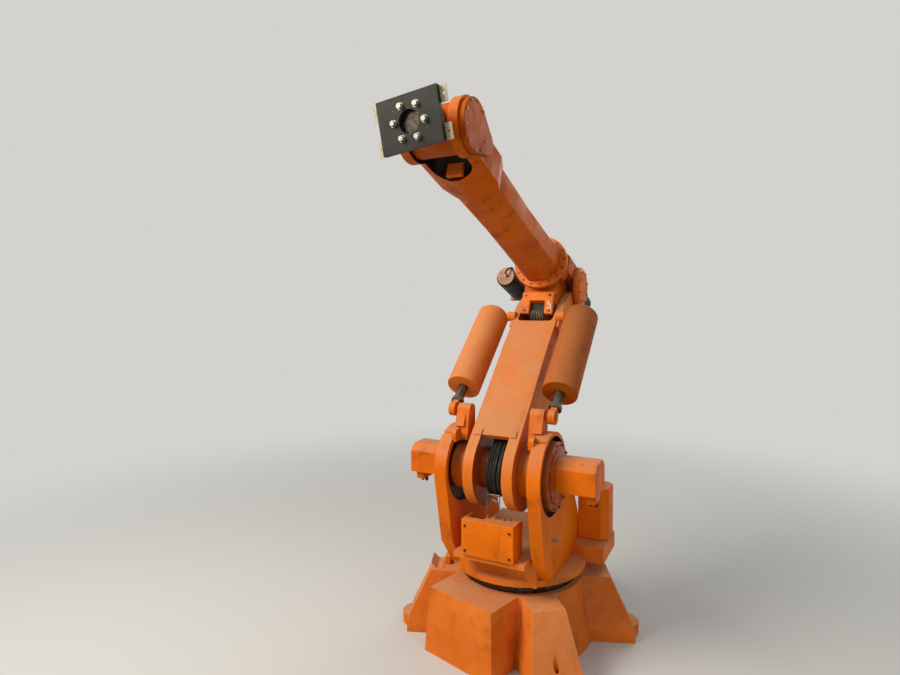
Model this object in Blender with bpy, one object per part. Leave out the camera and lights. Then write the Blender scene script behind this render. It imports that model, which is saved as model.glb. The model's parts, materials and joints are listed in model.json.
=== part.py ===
"""An orange six-axis industrial robot arm with a parallelogram lever and twin balancing cylinders."""
import math

import bmesh
import bpy

for old in list(bpy.data.objects):
    bpy.data.objects.remove(old, do_unlink=True)

# Driving dimensions in metres: X is forward, Y is the robot's left, Z is up from the floor
SHOULDER_FORWARD = 0.24
SHOULDER_HEIGHT = 0.90
LOWER_ARM_LENGTH = 1.05
ELBOW_OFFSET = 0.225
UPPER_ARM_LENGTH = 1.52
FLANGE_REACH = 0.20
LEVER_RADIUS = 0.33

# Rest pose
LEAN = math.radians(45)
ELEVATION = math.radians(19)
TOOL_DIP = math.radians(6.4)
TOOL_ROLL = math.radians(6)
BASE_TURN = math.radians(-15)

# Clearances shared by all pieces
SEAT_GAP = 0.0003
OPEN_PIVOT_GAP = 0.0015
OVERRUN = 0.02
SEGMENTS = 40
PIN_SEGMENTS = 24


# Shapes: each is a closed loft of rings of points
def link_shape(bm):
    bmesh.ops.recalc_face_normals(bm, faces=bm.faces)
    mesh = bpy.data.meshes.new("shape")
    bm.to_mesh(mesh)
    bm.free()
    shape = bpy.data.objects.new("shape", mesh)
    bpy.context.scene.collection.objects.link(shape)
    return shape


def loft(rings):
    """Skin a row of rings that have equally many points, and cap both ends."""
    bm = bmesh.new()
    rows = [[bm.verts.new(point) for point in ring] for ring in rings]
    count = len(rows[0])
    for row, following in zip(rows, rows[1:]):
        for i in range(count):
            j = (i + 1) % count
            bm.faces.new((row[i], row[j], following[j], following[i]))
    bm.faces.new(rows[0])
    bm.faces.new(list(reversed(rows[-1])))
    return link_shape(bm)


def point_on(along, a, b, level):
    """A point from two plane coordinates and a level along the named axis."""
    return {"X": (level, a, b), "Y": (a, level, b), "Z": (a, b, level)}[along]


def prism(outline, along, low, high):
    return loft([[point_on(along, a, b, level) for a, b in outline] for level in (low, high)])


def block(x_range, y_range, z_range):
    outline = [(x, y) for x, y in zip((x_range[0], x_range[1], x_range[1], x_range[0]),
                                      (y_range[0], y_range[0], y_range[1], y_range[1]))]
    return prism(outline, "Z", *z_range)


def arc(centre, radius, start, end, steps):
    """Points round a centre, from one angle in degrees to another."""
    turns = [math.radians(start + (end - start) * i / steps) for i in range(steps + 1)]
    return [(centre[0] + radius * math.cos(t), centre[1] + radius * math.sin(t)) for t in turns]


def turned(profile, along, centre=(0, 0), segments=SEGMENTS):
    """A round solid from (level, radius) pairs along the named axis."""
    rings = []
    for level, radius in profile:
        circle = arc(centre, radius, 0, 360 - 360 / segments, segments - 1)
        rings.append([point_on(along, a, b, level) for a, b in circle])
    return loft(rings)


def disc(radius, along, low, high, centre=(0, 0), segments=SEGMENTS):
    return turned([(low, radius), (high, radius)], along, centre, segments)


def combine(target, tools, operation):
    for tool in tools:
        modifier = target.modifiers.new("join", "BOOLEAN")
        modifier.operation = operation
        modifier.solver = "EXACT"
        modifier.object = tool
        depsgraph = bpy.context.evaluated_depsgraph_get()
        mesh = bpy.data.meshes.new_from_object(target.evaluated_get(depsgraph))
        target.modifiers.clear()
        target.data = mesh
        bpy.data.objects.remove(tool, do_unlink=True)
    return target


def fuse(target, *tools):
    return combine(target, tools, "UNION")


def cut(target, *tools):
    return combine(target, tools, "DIFFERENCE")


def turn_about_z(shape, angle):
    for vertex in shape.data.vertices:
        x, y, z = vertex.co
        vertex.co = (x * math.cos(angle) - y * math.sin(angle),
                     x * math.sin(angle) + y * math.cos(angle), z)
    return shape


def sided(side, inner, outer):
    """The Y range between two distances from the middle plane, on one side of it."""
    return sorted((side * inner, side * outer))


# Holders and materials
def holder(name, parent=None, place=(0, 0, 0), lean=0, spin=0, roll=0):
    empty = bpy.data.objects.new(name, None)
    bpy.context.scene.collection.objects.link(empty)
    empty.parent = parent
    empty.location = place
    empty.rotation_euler = (roll, lean, spin)
    return empty


COLOURS = {
    "orange": ((0.80, 0.17, 0.015, 1), 0.45, 0.0),
    "dark_motor": ((0.06, 0.05, 0.045, 1), 0.5, 0.3),
    "grey_plate": ((0.055, 0.06, 0.065, 1), 0.45, 0.5),
    "cream_tab": ((0.62, 0.60, 0.50, 1), 0.5, 0.0),
    "steel": ((0.42, 0.41, 0.39, 1), 0.35, 1.0),
}


def finish(shape, name, parent, colour="orange"):
    """Name a solid, hang it on its holder and give it its own material."""
    shape.name = name
    shape.data.name = name
    shape.parent = parent
    base, roughness, metallic = COLOURS[colour]
    material = bpy.data.materials.new(name)
    material.use_nodes = True
    shader = material.node_tree.nodes["Principled BSDF"]
    shader.inputs["Base Color"].default_value = base
    shader.inputs["Roughness"].default_value = roughness
    shader.inputs["Metallic"].default_value = metallic
    shape.data.materials.clear()
    shape.data.materials.append(material)
    shape.data.shade_smooth()
    shape.data.set_sharp_from_angle(angle=math.radians(35))
    return shape


# Base: a round core with a front and a rear block and four splayed feet
BASE_HEIGHT = 0.32
CORE_RADIUS = 0.33
SKIRT_RADIUS = 0.38
BLOCK_REACH = 0.475
BLOCK_HALF = 0.19
BLOCK_FLARE = 0.02
WING_FLOOR_REACH = 0.58
WING_SPLAY = 0.12
WING_TOP_REACH = WING_FLOOR_REACH - WING_SPLAY
WING_DROP = 0.003
WING_TOP_HALF = 0.08
WING_FLOOR_HALF = 0.12
WING_ANGLES = (-53, 53, 127, 233)
FOOT_INSET = 0.03
FOOT_REACH = WING_FLOOR_REACH - FOOT_INSET
FOOT_RADIUS = 0.07
FOOT_HEIGHT = 0.06
FOOT_HOLE = 0.0135
RING_RADIUS = 0.30
RING_HEIGHT = 0.035
CONNECTOR_DEPTH = 0.10
CONNECTOR_HALF = 0.13
CONNECTOR_FOOT = 0.06
COVER_DEPTH = 0.063
COVER_INSET = 0.002
COVER_HALF = 0.0625
COVER_THICK = 0.003
COVER_LIFT = 0.03
STOP_ANGLE = math.radians(-56)
STOP_REACH = (0.36, 0.39)
STOP_HALF = 0.03
STOP_HEIGHT = 0.044


def base_wing():
    rings = []
    for level, reach, half in ((0, WING_FLOOR_REACH, WING_FLOOR_HALF),
                               (FOOT_HEIGHT, WING_FLOOR_REACH, WING_FLOOR_HALF),
                               (BASE_HEIGHT - WING_DROP, WING_TOP_REACH, WING_TOP_HALF)):
        rings.append([(0, -half, level), (reach, -half, level), (reach, half, level), (0, half, level)])
    return loft(rings)


def base_block(way, foot_flare):
    rings = []
    for level, flare in ((0, foot_flare), (BASE_HEIGHT, 0)):
        reach = way * (BLOCK_REACH + flare)
        half = BLOCK_HALF + flare
        rings.append([(0, -half, level), (reach, -half, level), (reach, half, level), (0, half, level)])
    return loft(rings)


def build_base(base):
    casting = turned([(0, SKIRT_RADIUS), (BASE_HEIGHT, CORE_RADIUS)], "Z")
    casting = fuse(casting, base_block(1, BLOCK_FLARE), base_block(-1, 0))
    for angle in WING_ANGLES:
        turn = math.radians(angle)
        foot = (FOOT_REACH * math.cos(turn), FOOT_REACH * math.sin(turn))
        casting = fuse(casting, turn_about_z(base_wing(), turn),
                       disc(FOOT_RADIUS, "Z", 0, FOOT_HEIGHT, foot, PIN_SEGMENTS))
        casting = cut(casting, disc(FOOT_HOLE, "Z", -OVERRUN, BASE_HEIGHT, foot, PIN_SEGMENTS))
    finish(casting, "base_casting", base)

    ring_top = BASE_HEIGHT + RING_HEIGHT
    finish(disc(RING_RADIUS, "Z", BASE_HEIGHT + SEAT_GAP, ring_top), "bearing_ring", base)

    seat = -BLOCK_REACH - SEAT_GAP
    box = block((seat - CONNECTOR_DEPTH, seat), (-CONNECTOR_HALF, CONNECTOR_HALF),
                (CONNECTOR_FOOT, BASE_HEIGHT - CONNECTOR_FOOT))
    finish(box, "connector_box", base)

    far = WING_TOP_REACH - COVER_INSET
    near = far - COVER_DEPTH
    low = BASE_HEIGHT - WING_DROP + SEAT_GAP
    bend = near + (far - near) * 0.5
    outline = [(near, low), (bend, low), (far, low + COVER_LIFT),
               (far, low + COVER_LIFT + COVER_THICK), (bend, low + COVER_THICK), (near, low + COVER_THICK)]
    cover = prism(outline, "Y", -COVER_HALF, COVER_HALF)
    finish(turn_about_z(cover, math.radians(WING_ANGLES[0])), "base_cover_plate", base)

    stop = block(STOP_REACH, (-STOP_HALF, STOP_HALF), (low, low + STOP_HEIGHT))
    finish(turn_about_z(stop, STOP_ANGLE), "stop_block", base)


# Stand: a turntable with a floor between two round cheeks
TABLE_RADIUS = 0.345
TABLE_NECK = 0.27
NECK_HEIGHT = 0.017
TABLE_THICK = 0.03
TABLE_LOW = BASE_HEIGHT + RING_HEIGHT + NECK_HEIGHT
TABLE_TOP = TABLE_LOW + TABLE_THICK
FLOOR_X = (-0.26, 0.30)
FLOOR_LIP = 0.405
FLOOR_RISE = 0.118
FLOOR_TOP = TABLE_TOP + FLOOR_RISE
FLOOR_THICK = 0.025
CHEEK_INNER = 0.20
CHEEK_OUTER = 0.262
CHEEK_RADIUS = 0.205
CHEEK_FOOT_X = (-0.25, 0.26)
CHEEK_FRONT_X = 0.375
CHEEK_FRONT_RISE = 0.148
CHEEK_BACK_X = -0.19
CHEEK_BACK_RISE = 0.198
CHEEK_BOSS = 0.115
CHEEK_POCKET = 0.178
POCKET_DEPTH = 0.018
RECESS_RADIUS = 0.186
RECESS_DEPTH = 0.03
EAR_FORWARD = 0.108
EAR_FOOT = 0.14
EAR_RISE = 0.175
EAR_ROUND = 0.0235
EAR_WIDTH = 0.016
EAR_HOLE = 0.009
GEARBOX_RADIUS = 0.160
GEARBOX_OUTER = 0.282


def cheek_outline():
    shoulder = (SHOULDER_FORWARD, SHOULDER_HEIGHT)
    rear, front = CHEEK_FOOT_X
    foot = TABLE_TOP + SEAT_GAP
    return [(rear, foot), (front, foot), (CHEEK_FRONT_X, TABLE_TOP + CHEEK_FRONT_RISE),
            *arc(shoulder, CHEEK_RADIUS, -10, 145, 24), (CHEEK_BACK_X, TABLE_TOP + CHEEK_BACK_RISE)]


def build_cheek(stand, side, name):
    shoulder = (SHOULDER_FORWARD, SHOULDER_HEIGHT)
    web = CHEEK_INNER + POCKET_DEPTH
    cheek = prism(cheek_outline(), "Y", *sided(side, CHEEK_INNER, CHEEK_OUTER))
    cheek = cut(cheek, disc(CHEEK_POCKET, "Y", *sided(side, CHEEK_INNER - OVERRUN, web), shoulder),
                disc(RECESS_RADIUS, "Y", *sided(side, CHEEK_OUTER - RECESS_DEPTH, CHEEK_OUTER + OVERRUN),
                     shoulder))
    boss = disc(CHEEK_BOSS, "Y", *sided(side, WALL_OUTER + SEAT_GAP, web + RECESS_DEPTH / 4), shoulder)
    hole_x = SHOULDER_FORWARD + EAR_FORWARD
    hole_z = SHOULDER_HEIGHT + EAR_RISE
    low = SHOULDER_HEIGHT + EAR_FOOT
    ear = prism([(hole_x - EAR_ROUND, low), (hole_x + EAR_ROUND, low),
                 *arc((hole_x, hole_z), EAR_ROUND, 0, 180, 8)],
                "Y", *sided(side, CHEEK_INNER - EAR_WIDTH, CHEEK_INNER + EAR_WIDTH / 2))
    cheek = fuse(cheek, boss, ear)
    hole = disc(EAR_HOLE, "Y", *sided(side, CHEEK_INNER - OVERRUN, CHEEK_OUTER), (hole_x, hole_z),
                PIN_SEGMENTS)
    finish(cut(cheek, hole), name + "_cheek", stand)

    floor = CHEEK_OUTER - RECESS_DEPTH + SEAT_GAP
    gearbox = turned([(side * floor, GEARBOX_RADIUS), (side * GEARBOX_OUTER, GEARBOX_RADIUS)], "Y",
                     shoulder)
    finish(gearbox, name + "_gearbox", stand)


# Motors on the stand: chamfered covers with a connector lug below
MOTOR_BEHIND = 0.10
MOTOR_AHEAD = 0.07
MOTOR_BELOW = 0.055
MOTOR_ABOVE = 0.09
MOTOR_CHAMFER = 0.035
MOTOR_END = 0.475
LUG_BEHIND = 0.06
LUG_AHEAD = 0.03
LUG_BELOW = 0.10
LUG_Y = (0.42, 0.465)
TURN_MOTOR_X = (-0.36, -0.19)
TURN_MOTOR_Y = (0.262, 0.42)
TURN_BRACKET_HEIGHT = 0.053
TURN_MOTOR_HEIGHT = 0.275
TURN_BRACKET_X = (-0.37, -0.10)
TURN_BRACKET_INNER = 0.05


def build_motor(stand, side, name):
    rear, front = SHOULDER_FORWARD - MOTOR_BEHIND, SHOULDER_FORWARD + MOTOR_AHEAD
    low, high = SHOULDER_HEIGHT - MOTOR_BELOW, SHOULDER_HEIGHT + MOTOR_ABOVE
    outline = [(rear, low), (front, low), (front, high - MOTOR_CHAMFER), (front - MOTOR_CHAMFER, high),
               (rear + MOTOR_CHAMFER, high), (rear, high - MOTOR_CHAMFER)]
    cover = prism(outline, "Y", *sided(side, GEARBOX_OUTER + SEAT_GAP, MOTOR_END))
    lug = block((SHOULDER_FORWARD - LUG_BEHIND, SHOULDER_FORWARD + LUG_AHEAD), sided(side, *LUG_Y),
                (SHOULDER_HEIGHT - LUG_BELOW, low + OVERRUN))
    finish(fuse(cover, lug), name, stand)


def build_turn_motor(stand):
    seat = TABLE_TOP + TURN_BRACKET_HEIGHT
    bracket = block(TURN_BRACKET_X, (CHEEK_OUTER + SEAT_GAP, TURN_MOTOR_Y[1]), (TABLE_TOP, seat))
    shelf = block(TURN_BRACKET_X, (TURN_BRACKET_INNER, TURN_MOTOR_Y[1]), (TABLE_LOW, TABLE_TOP))
    back, front = TURN_MOTOR_X
    inner, outer = TURN_MOTOR_Y
    outline = [(back, inner), (front, inner), (front, outer - MOTOR_CHAMFER),
               (front - MOTOR_CHAMFER, outer),
               (back + MOTOR_CHAMFER, outer), (back, outer - MOTOR_CHAMFER)]
    motor = prism(outline, "Z", seat + SEAT_GAP, seat + TURN_MOTOR_HEIGHT)
    finish(motor, "axis_1_motor", stand)
    return bracket, shelf


def build_stand(stand):
    neck_low = BASE_HEIGHT + RING_HEIGHT + SEAT_GAP
    table = turned([(neck_low, TABLE_NECK), (TABLE_LOW, TABLE_NECK), (TABLE_LOW, TABLE_RADIUS),
                    (TABLE_TOP, TABLE_RADIUS)], "Z")
    half = CHEEK_INNER - SEAT_GAP
    plinth = block(FLOOR_X, (-half, half), (TABLE_LOW + SEAT_GAP, FLOOR_TOP - SEAT_GAP))
    lip = block((FLOOR_X[0] + OVERRUN, FLOOR_LIP), (OVERRUN - half, half - OVERRUN),
                (FLOOR_TOP - FLOOR_THICK, FLOOR_TOP))
    bracket, shelf = build_turn_motor(stand)
    finish(fuse(table, plinth, lip, fuse(bracket, shelf)), "turntable", stand)
    for side, name in ((1, "left"), (-1, "right")):
        build_cheek(stand, side, name)
        build_rod_bracket(stand, side, name)
    build_motor(stand, 1, "axis_2_motor")
    build_motor(stand, -1, "axis_3_motor")
    build_front_box(stand)


# Front box: a shallow cover on the lip of the floor, open behind for the lever
BOX_FRONT = 0.42
BOX_WALL = 0.008
BOX_HALF = 0.131
BOX_HEIGHT = 0.171
BOX_TOP = FLOOR_TOP + BOX_HEIGHT
BOX_DEPTH = 0.04
BOX_SIDE_DEPTH = 0.12
SHELF_DEPTH = 0.09
SHELF_RIGHT = 0.033
GUIDE_WIRE = 0.003
GUIDE_BEHIND = 0.072
GUIDE_Y = (-0.03, 0.035)
GUIDE_RISE = 0.113


def build_front_box(stand):
    low = FLOOR_TOP + SEAT_GAP
    front = block((BOX_FRONT - BOX_WALL, BOX_FRONT), (-BOX_HALF, BOX_HALF), (low, BOX_TOP))
    for side in (1, -1):
        wall = block((BOX_FRONT - BOX_SIDE_DEPTH, BOX_FRONT - BOX_WALL / 2),
                     sided(side, BOX_HALF - BOX_WALL, BOX_HALF), (low, BOX_TOP - BOX_WALL / 2))
        front = fuse(front, wall)
    # The top reaches further back beside the lever's path, and the bent wire stands there
    ahead = BOX_FRONT - BOX_WALL / 2
    behind = BOX_FRONT - BOX_DEPTH
    shelf = BOX_FRONT - SHELF_DEPTH
    top = prism([(ahead, -BOX_HALF), (ahead, BOX_HALF), (shelf, BOX_HALF), (shelf, -SHELF_RIGHT),
                 (behind, -SHELF_RIGHT), (behind, -BOX_HALF)], "Z", BOX_TOP - BOX_WALL, BOX_TOP)
    finish(fuse(front, top), "front_box", stand)

    x = BOX_FRONT - GUIDE_BEHIND
    right, left = GUIDE_Y
    foot = BOX_TOP + SEAT_GAP
    high = foot + GUIDE_RISE
    route = [(x, right, foot), (x, right, high), (x, left, high), (x, left, foot)]
    curve = bpy.data.curves.new("cable_guide", "CURVE")
    curve.dimensions = "3D"
    curve.bevel_depth = GUIDE_WIRE
    curve.bevel_resolution = 2
    curve.use_fill_caps = True
    spline = curve.splines.new("POLY")
    spline.points.add(len(route) - 1)
    for point, place in zip(spline.points, route):
        point.co = (*place, 1)
    guide = bpy.data.objects.new("cable_guide", curve)
    bpy.context.scene.collection.objects.link(guide)
    mesh = bpy.data.meshes.new_from_object(guide)
    bpy.data.objects.remove(guide, do_unlink=True)
    guide = bpy.data.objects.new("cable_guide", mesh)
    bpy.context.scene.collection.objects.link(guide)
    finish(guide, "cable_guide", stand, "steel")


# Rod brackets: an upright lug on each cheek with the pin that carries a balancer rod
ROD_EYE_AHEAD = 0.0035
ROD_EYE_RISE = 0.277
ROD_EYE = (SHOULDER_FORWARD + ROD_EYE_AHEAD, SHOULDER_HEIGHT + ROD_EYE_RISE)
ROD_Y = 0.256
BRACKET_Y = (0.155, 0.222)
BRACKET_BEHIND = 0.027
BRACKET_AHEAD = 0.065
BRACKET_RISE = 0.14
BRACKET_ROUND = 0.033
EYE_RADIUS = 0.035
EYE_WIDTH = 0.032
ROD_PIN = 0.015
PIN_END = 0.278


def build_rod_bracket(stand, side, name):
    rear, front = SHOULDER_FORWARD - BRACKET_BEHIND, SHOULDER_FORWARD + BRACKET_AHEAD
    low = SHOULDER_HEIGHT + BRACKET_RISE
    cheek_top = SHOULDER_HEIGHT + CHEEK_RADIUS + SEAT_GAP
    x, z = ROD_EYE
    outline = [(rear, low), (front, low), *arc((x, z), BRACKET_ROUND, 0, 180, 12)]
    lug = prism(outline, "Y", *sided(side, BRACKET_Y[0], CHEEK_INNER - SEAT_GAP))
    upper = [(rear, cheek_top), (front, cheek_top), *arc((x, z), BRACKET_ROUND - SEAT_GAP, 0, 180, 12)]
    lug = fuse(lug, prism(upper, "Y", *sided(side, BRACKET_Y[0] + OVERRUN, BRACKET_Y[1])))
    pin = disc(ROD_PIN, "Y", *sided(side, BRACKET_Y[1] - OVERRUN, PIN_END), (x, z), PIN_SEGMENTS)
    finish(fuse(lug, pin), name + "_rod_bracket", stand)


# Lower arm: X is its forward normal and Z runs up its length
LEG_RADIUS = 0.184
LEG_INNER = 0.072
WALL_INNER = 0.10
WALL_OUTER = 0.124
FACE_THICK = 0.028
FACE_LOW = 0.07
CREASE_BELOW = 0.40
CREASE_HEIGHT = LOWER_ARM_LENGTH - CREASE_BELOW
FACE_TOP_BELOW = 0.09
FACE_TOP = LOWER_ARM_LENGTH - FACE_TOP_BELOW
FACE_TOP_DEPTH = 0.166
LEG_TOP = 0.34
EAR_OUTER = 0.14
EAR_RADIUS = 0.13
EAR_BELOW = 0.25
EAR_LOW = LOWER_ARM_LENGTH - EAR_BELOW
THROAT_BELOW = 0.215
THROAT_LOW = LOWER_ARM_LENGTH - THROAT_BELOW
THROAT_ROUND = 0.02
BACK_DEPTH = 0.115
PIVOT_DEPTH = 0.17
PIVOT_BELOW = 0.18
PIVOT_HEIGHT = LOWER_ARM_LENGTH - PIVOT_BELOW
PIVOT_LUG = 0.027
PIVOT_END = 0.164
TAB_HEIGHT = 0.05
TAB_Y = (0.07, 0.105)
TAB_RISE = 0.006


def wall_outline():
    top = (0, LOWER_ARM_LENGTH)
    return [*arc((0, 0), LEG_RADIUS, 180, 360, 20), (LEG_RADIUS, CREASE_HEIGHT), (FACE_TOP_DEPTH, FACE_TOP),
            *arc(top, EAR_RADIUS, 10, 180, 14), (-BACK_DEPTH, EAR_LOW), (-BACK_DEPTH, LEG_TOP)]


def ear_outline():
    top = (0, LOWER_ARM_LENGTH)
    return [(-BACK_DEPTH, EAR_LOW), (FACE_TOP_DEPTH, EAR_LOW), (FACE_TOP_DEPTH - SEAT_GAP, FACE_TOP),
            *arc(top, EAR_RADIUS - SEAT_GAP, 10, 180, 14)]


def leg_outline():
    inside = LEG_RADIUS - SEAT_GAP
    return [*arc((0, 0), inside, 180, 360, 20), (inside, LEG_TOP), (BACK_DEPTH, LEG_TOP)]


def build_lower_arm(lower):
    face = [(LEG_RADIUS - FACE_THICK, FACE_LOW), (LEG_RADIUS, FACE_LOW), (LEG_RADIUS, CREASE_HEIGHT),
            (FACE_TOP_DEPTH, FACE_TOP), (FACE_TOP_DEPTH - FACE_THICK, FACE_TOP),
            (LEG_RADIUS - FACE_THICK, CREASE_HEIGHT)]
    middle = WALL_OUTER - SEAT_GAP
    arm = prism(face, "Y", -middle, middle)
    lap = (WALL_OUTER - WALL_INNER) / 2
    for side in (1, -1):
        arm = fuse(arm, prism(wall_outline(), "Y", *sided(side, WALL_INNER, WALL_OUTER)))
        arm = fuse(arm, prism(leg_outline(), "Y", *sided(side, LEG_INNER, WALL_INNER + lap)))
        arm = fuse(arm, prism(ear_outline(), "Y", *sided(side, WALL_OUTER - lap, EAR_OUTER)))
        arm = fuse(arm, disc(PIVOT_LUG, "Y", *sided(side, WALL_OUTER - lap / 2, PIVOT_END),
                             (PIVOT_DEPTH, PIVOT_HEIGHT), PIN_SEGMENTS))
        tab = [(LEG_RADIUS - FACE_THICK / 2, FACE_LOW - TAB_RISE),
               (LEG_RADIUS + TAB_RISE, FACE_LOW - TAB_RISE),
               (LEG_RADIUS + TAB_RISE, FACE_LOW + TAB_HEIGHT / 2),
               (LEG_RADIUS - TAB_RISE, FACE_LOW + TAB_HEIGHT)]
        arm = fuse(arm, prism(tab, "Y", *sided(side, *TAB_Y)))
    corner = WALL_INNER - THROAT_ROUND
    bottom = THROAT_LOW + THROAT_ROUND
    above = FACE_TOP + OVERRUN
    throat = [(WALL_INNER, above), (-WALL_INNER, above), *arc((-corner, bottom), THROAT_ROUND, 180, 270, 6),
              *arc((corner, bottom), THROAT_ROUND, 270, 360, 6)]
    arm = cut(arm, prism(throat, "X", FACE_TOP_DEPTH - FACE_THICK - OVERRUN, LEG_RADIUS + OVERRUN))
    finish(arm, "lower_arm", lower)


# Parallelogram: a lever on the shoulder axis and a bar up to the back of the elbow housing
LINK_HALF = 0.032
LINK_END = 0.04
LINK_PIN = 0.015
LEVER_HUB = 0.10
LEVER_SHANK = 0.055
LEVER_FACE = 0.038
LEVER_BACK = 0.066
BAR_HALF_DEPTH = 0.022


def link_outline(start, end, start_radius, end_radius):
    """Two round ends joined by straight sides, along the X axis."""
    return [*arc((start, 0), start_radius, 90, 270, 12), *arc((end, 0), end_radius, -90, 90, 12)]


def build_lever(lever):
    """The lever lies against the right leg, so the cables have the room beside it."""
    shank = prism(link_outline(-LEVER_RADIUS, 0, LINK_END, LEVER_SHANK), "Y", -LEVER_BACK, -LEVER_FACE)
    hub = disc(LEVER_HUB, "Y", SEAT_GAP - LEG_INNER, -LEVER_FACE - SEAT_GAP)
    pin = disc(LINK_PIN, "Y", (-LEVER_FACE - LEVER_BACK) / 2, LINK_HALF, (-LEVER_RADIUS, 0), PIN_SEGMENTS)
    finish(fuse(shank, hub, pin), "parallel_lever", lever)


def build_bar(bar):
    """The bar hangs down its own Z from the rear pivot to the tip of the lever."""
    length = LOWER_ARM_LENGTH
    outline = [*arc((0, 0), LINK_END, 0, 180, 12), (-BAR_HALF_DEPTH, -LINK_END),
               (-BAR_HALF_DEPTH, LINK_END - length),
               *arc((0, -length), LINK_END, 180, 360, 12), (BAR_HALF_DEPTH, LINK_END - length),
               (BAR_HALF_DEPTH, -LINK_END)]
    shape = prism(outline, "Y", -LINK_HALF, LINK_HALF)
    reach = LINK_HALF + OVERRUN
    shape = cut(shape, disc(LINK_PIN + OPEN_PIVOT_GAP, "Y", -reach, reach, (0, -length), PIN_SEGMENTS),
                disc(LINK_PIN + 2 * SEAT_GAP, "Y", -reach, reach, (0, 0), PIN_SEGMENTS))
    finish(shape, "parallel_bar", bar)


# Balancers: each rod hangs on its pin and slides in its cylinder, whose top rides on the lower arm
ROD_RADIUS = 0.025
ROD_SHARE = 0.80
COLLAR_RADIUS = 0.032
COLLAR_Z = (0.043, 0.060)
CYLINDER_RADIUS = 0.0875
CYLINDER_START = 0.14
CYLINDER_OVER = 0.023
DOME = 0.022
BORE_RADIUS = 0.036
BORE_END = 0.04
BUSH_DEPTH = 0.03


def build_rod(rod, rest_length, name):
    half = EYE_WIDTH / 2
    eye = disc(EYE_RADIUS, "Y", -half, half)
    neck = block((-EYE_RADIUS / 2, EYE_RADIUS / 2), (-half + SEAT_GAP, half - SEAT_GAP),
                 (0, COLLAR_Z[0] + SEAT_GAP * 2))
    shaft = turned([(COLLAR_Z[0], COLLAR_RADIUS), (COLLAR_Z[1], COLLAR_RADIUS), (COLLAR_Z[1], ROD_RADIUS),
                    (rest_length * ROD_SHARE, ROD_RADIUS)], "Z", segments=PIN_SEGMENTS)
    shape = fuse(eye, neck, shaft)
    shape = cut(shape, disc(ROD_PIN + 2 * SEAT_GAP, "Y", -EYE_RADIUS, EYE_RADIUS, segments=PIN_SEGMENTS))
    finish(shape, name + "_balancer_rod", rod, "steel")


def build_cylinder(cylinder, rest_length, name):
    """The cylinder's own origin is its pivot on the lower arm; its axis points down to the rod's eye."""
    low, high = CYLINDER_START - rest_length, CYLINDER_OVER
    bore = high - BORE_END
    shape = turned([(low, CYLINDER_RADIUS), (high - DOME, CYLINDER_RADIUS),
                    (high - DOME / 3, CYLINDER_RADIUS - DOME / 2),
                    (high, CYLINDER_RADIUS - DOME * 1.5)], "Z")
    shape = cut(shape, turned([(low - OVERRUN, ROD_RADIUS + SEAT_GAP),
                               (low + BUSH_DEPTH, ROD_RADIUS + SEAT_GAP),
                               (low + BUSH_DEPTH, BORE_RADIUS), (bore, BORE_RADIUS)],
                              "Z", segments=PIN_SEGMENTS))
    finish(shape, name + "_balancer_cylinder", cylinder)


# Elbow housing: X runs forward along the upper arm and the axis-4 line lies above the elbow axis
HUB_RADIUS = 0.098
HOUSING_HALF = 0.094
HOUSING_REAR = -0.20
HOUSING_FRONT = 0.21
HOUSING_LOW = 0.0
HOUSING_WIDE_LOW = 0.19
HOUSING_TOP = 0.335
HOUSING_WIDE_HALF = 0.1454
HOUSING_CHAMFER = 0.05
SOCKET_RADIUS = 0.143
SOCKET_END = 0.24
SOCKET_CLEAR = 0.145
REAR_LUG = (0.045, 0.08)
REAR_LUG_RADIUS = 0.045
REAR_LUG_TOP = 0.12
ROLL_RING_RADIUS = 0.152
FORK_PLATE_THICK = 0.03
FORK_PLATE_HALF = 0.091
FORK_PLATE_Z = (-0.072, 0.055)
FORK_SLOT_HALF = 0.044
FORK_SLOT_TOP = 0.004
GEAR_COVER_PLACE = (-0.03, 0.18)
GEAR_COVER_RADIUS = 0.12
GEAR_COVER_OUTER = 0.178
AXIS_4_MOTOR_Y = -0.285
AXIS_4_MOTOR_RADIUS = 0.0625
AXIS_4_MOTOR_X = (-0.20, 0.07)
MOUNT_THICK = 0.025
REAR_MOTOR_X = -0.46
REAR_MOTOR_Y = 0.068
REAR_MOTOR_RADIUS = 0.055


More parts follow.
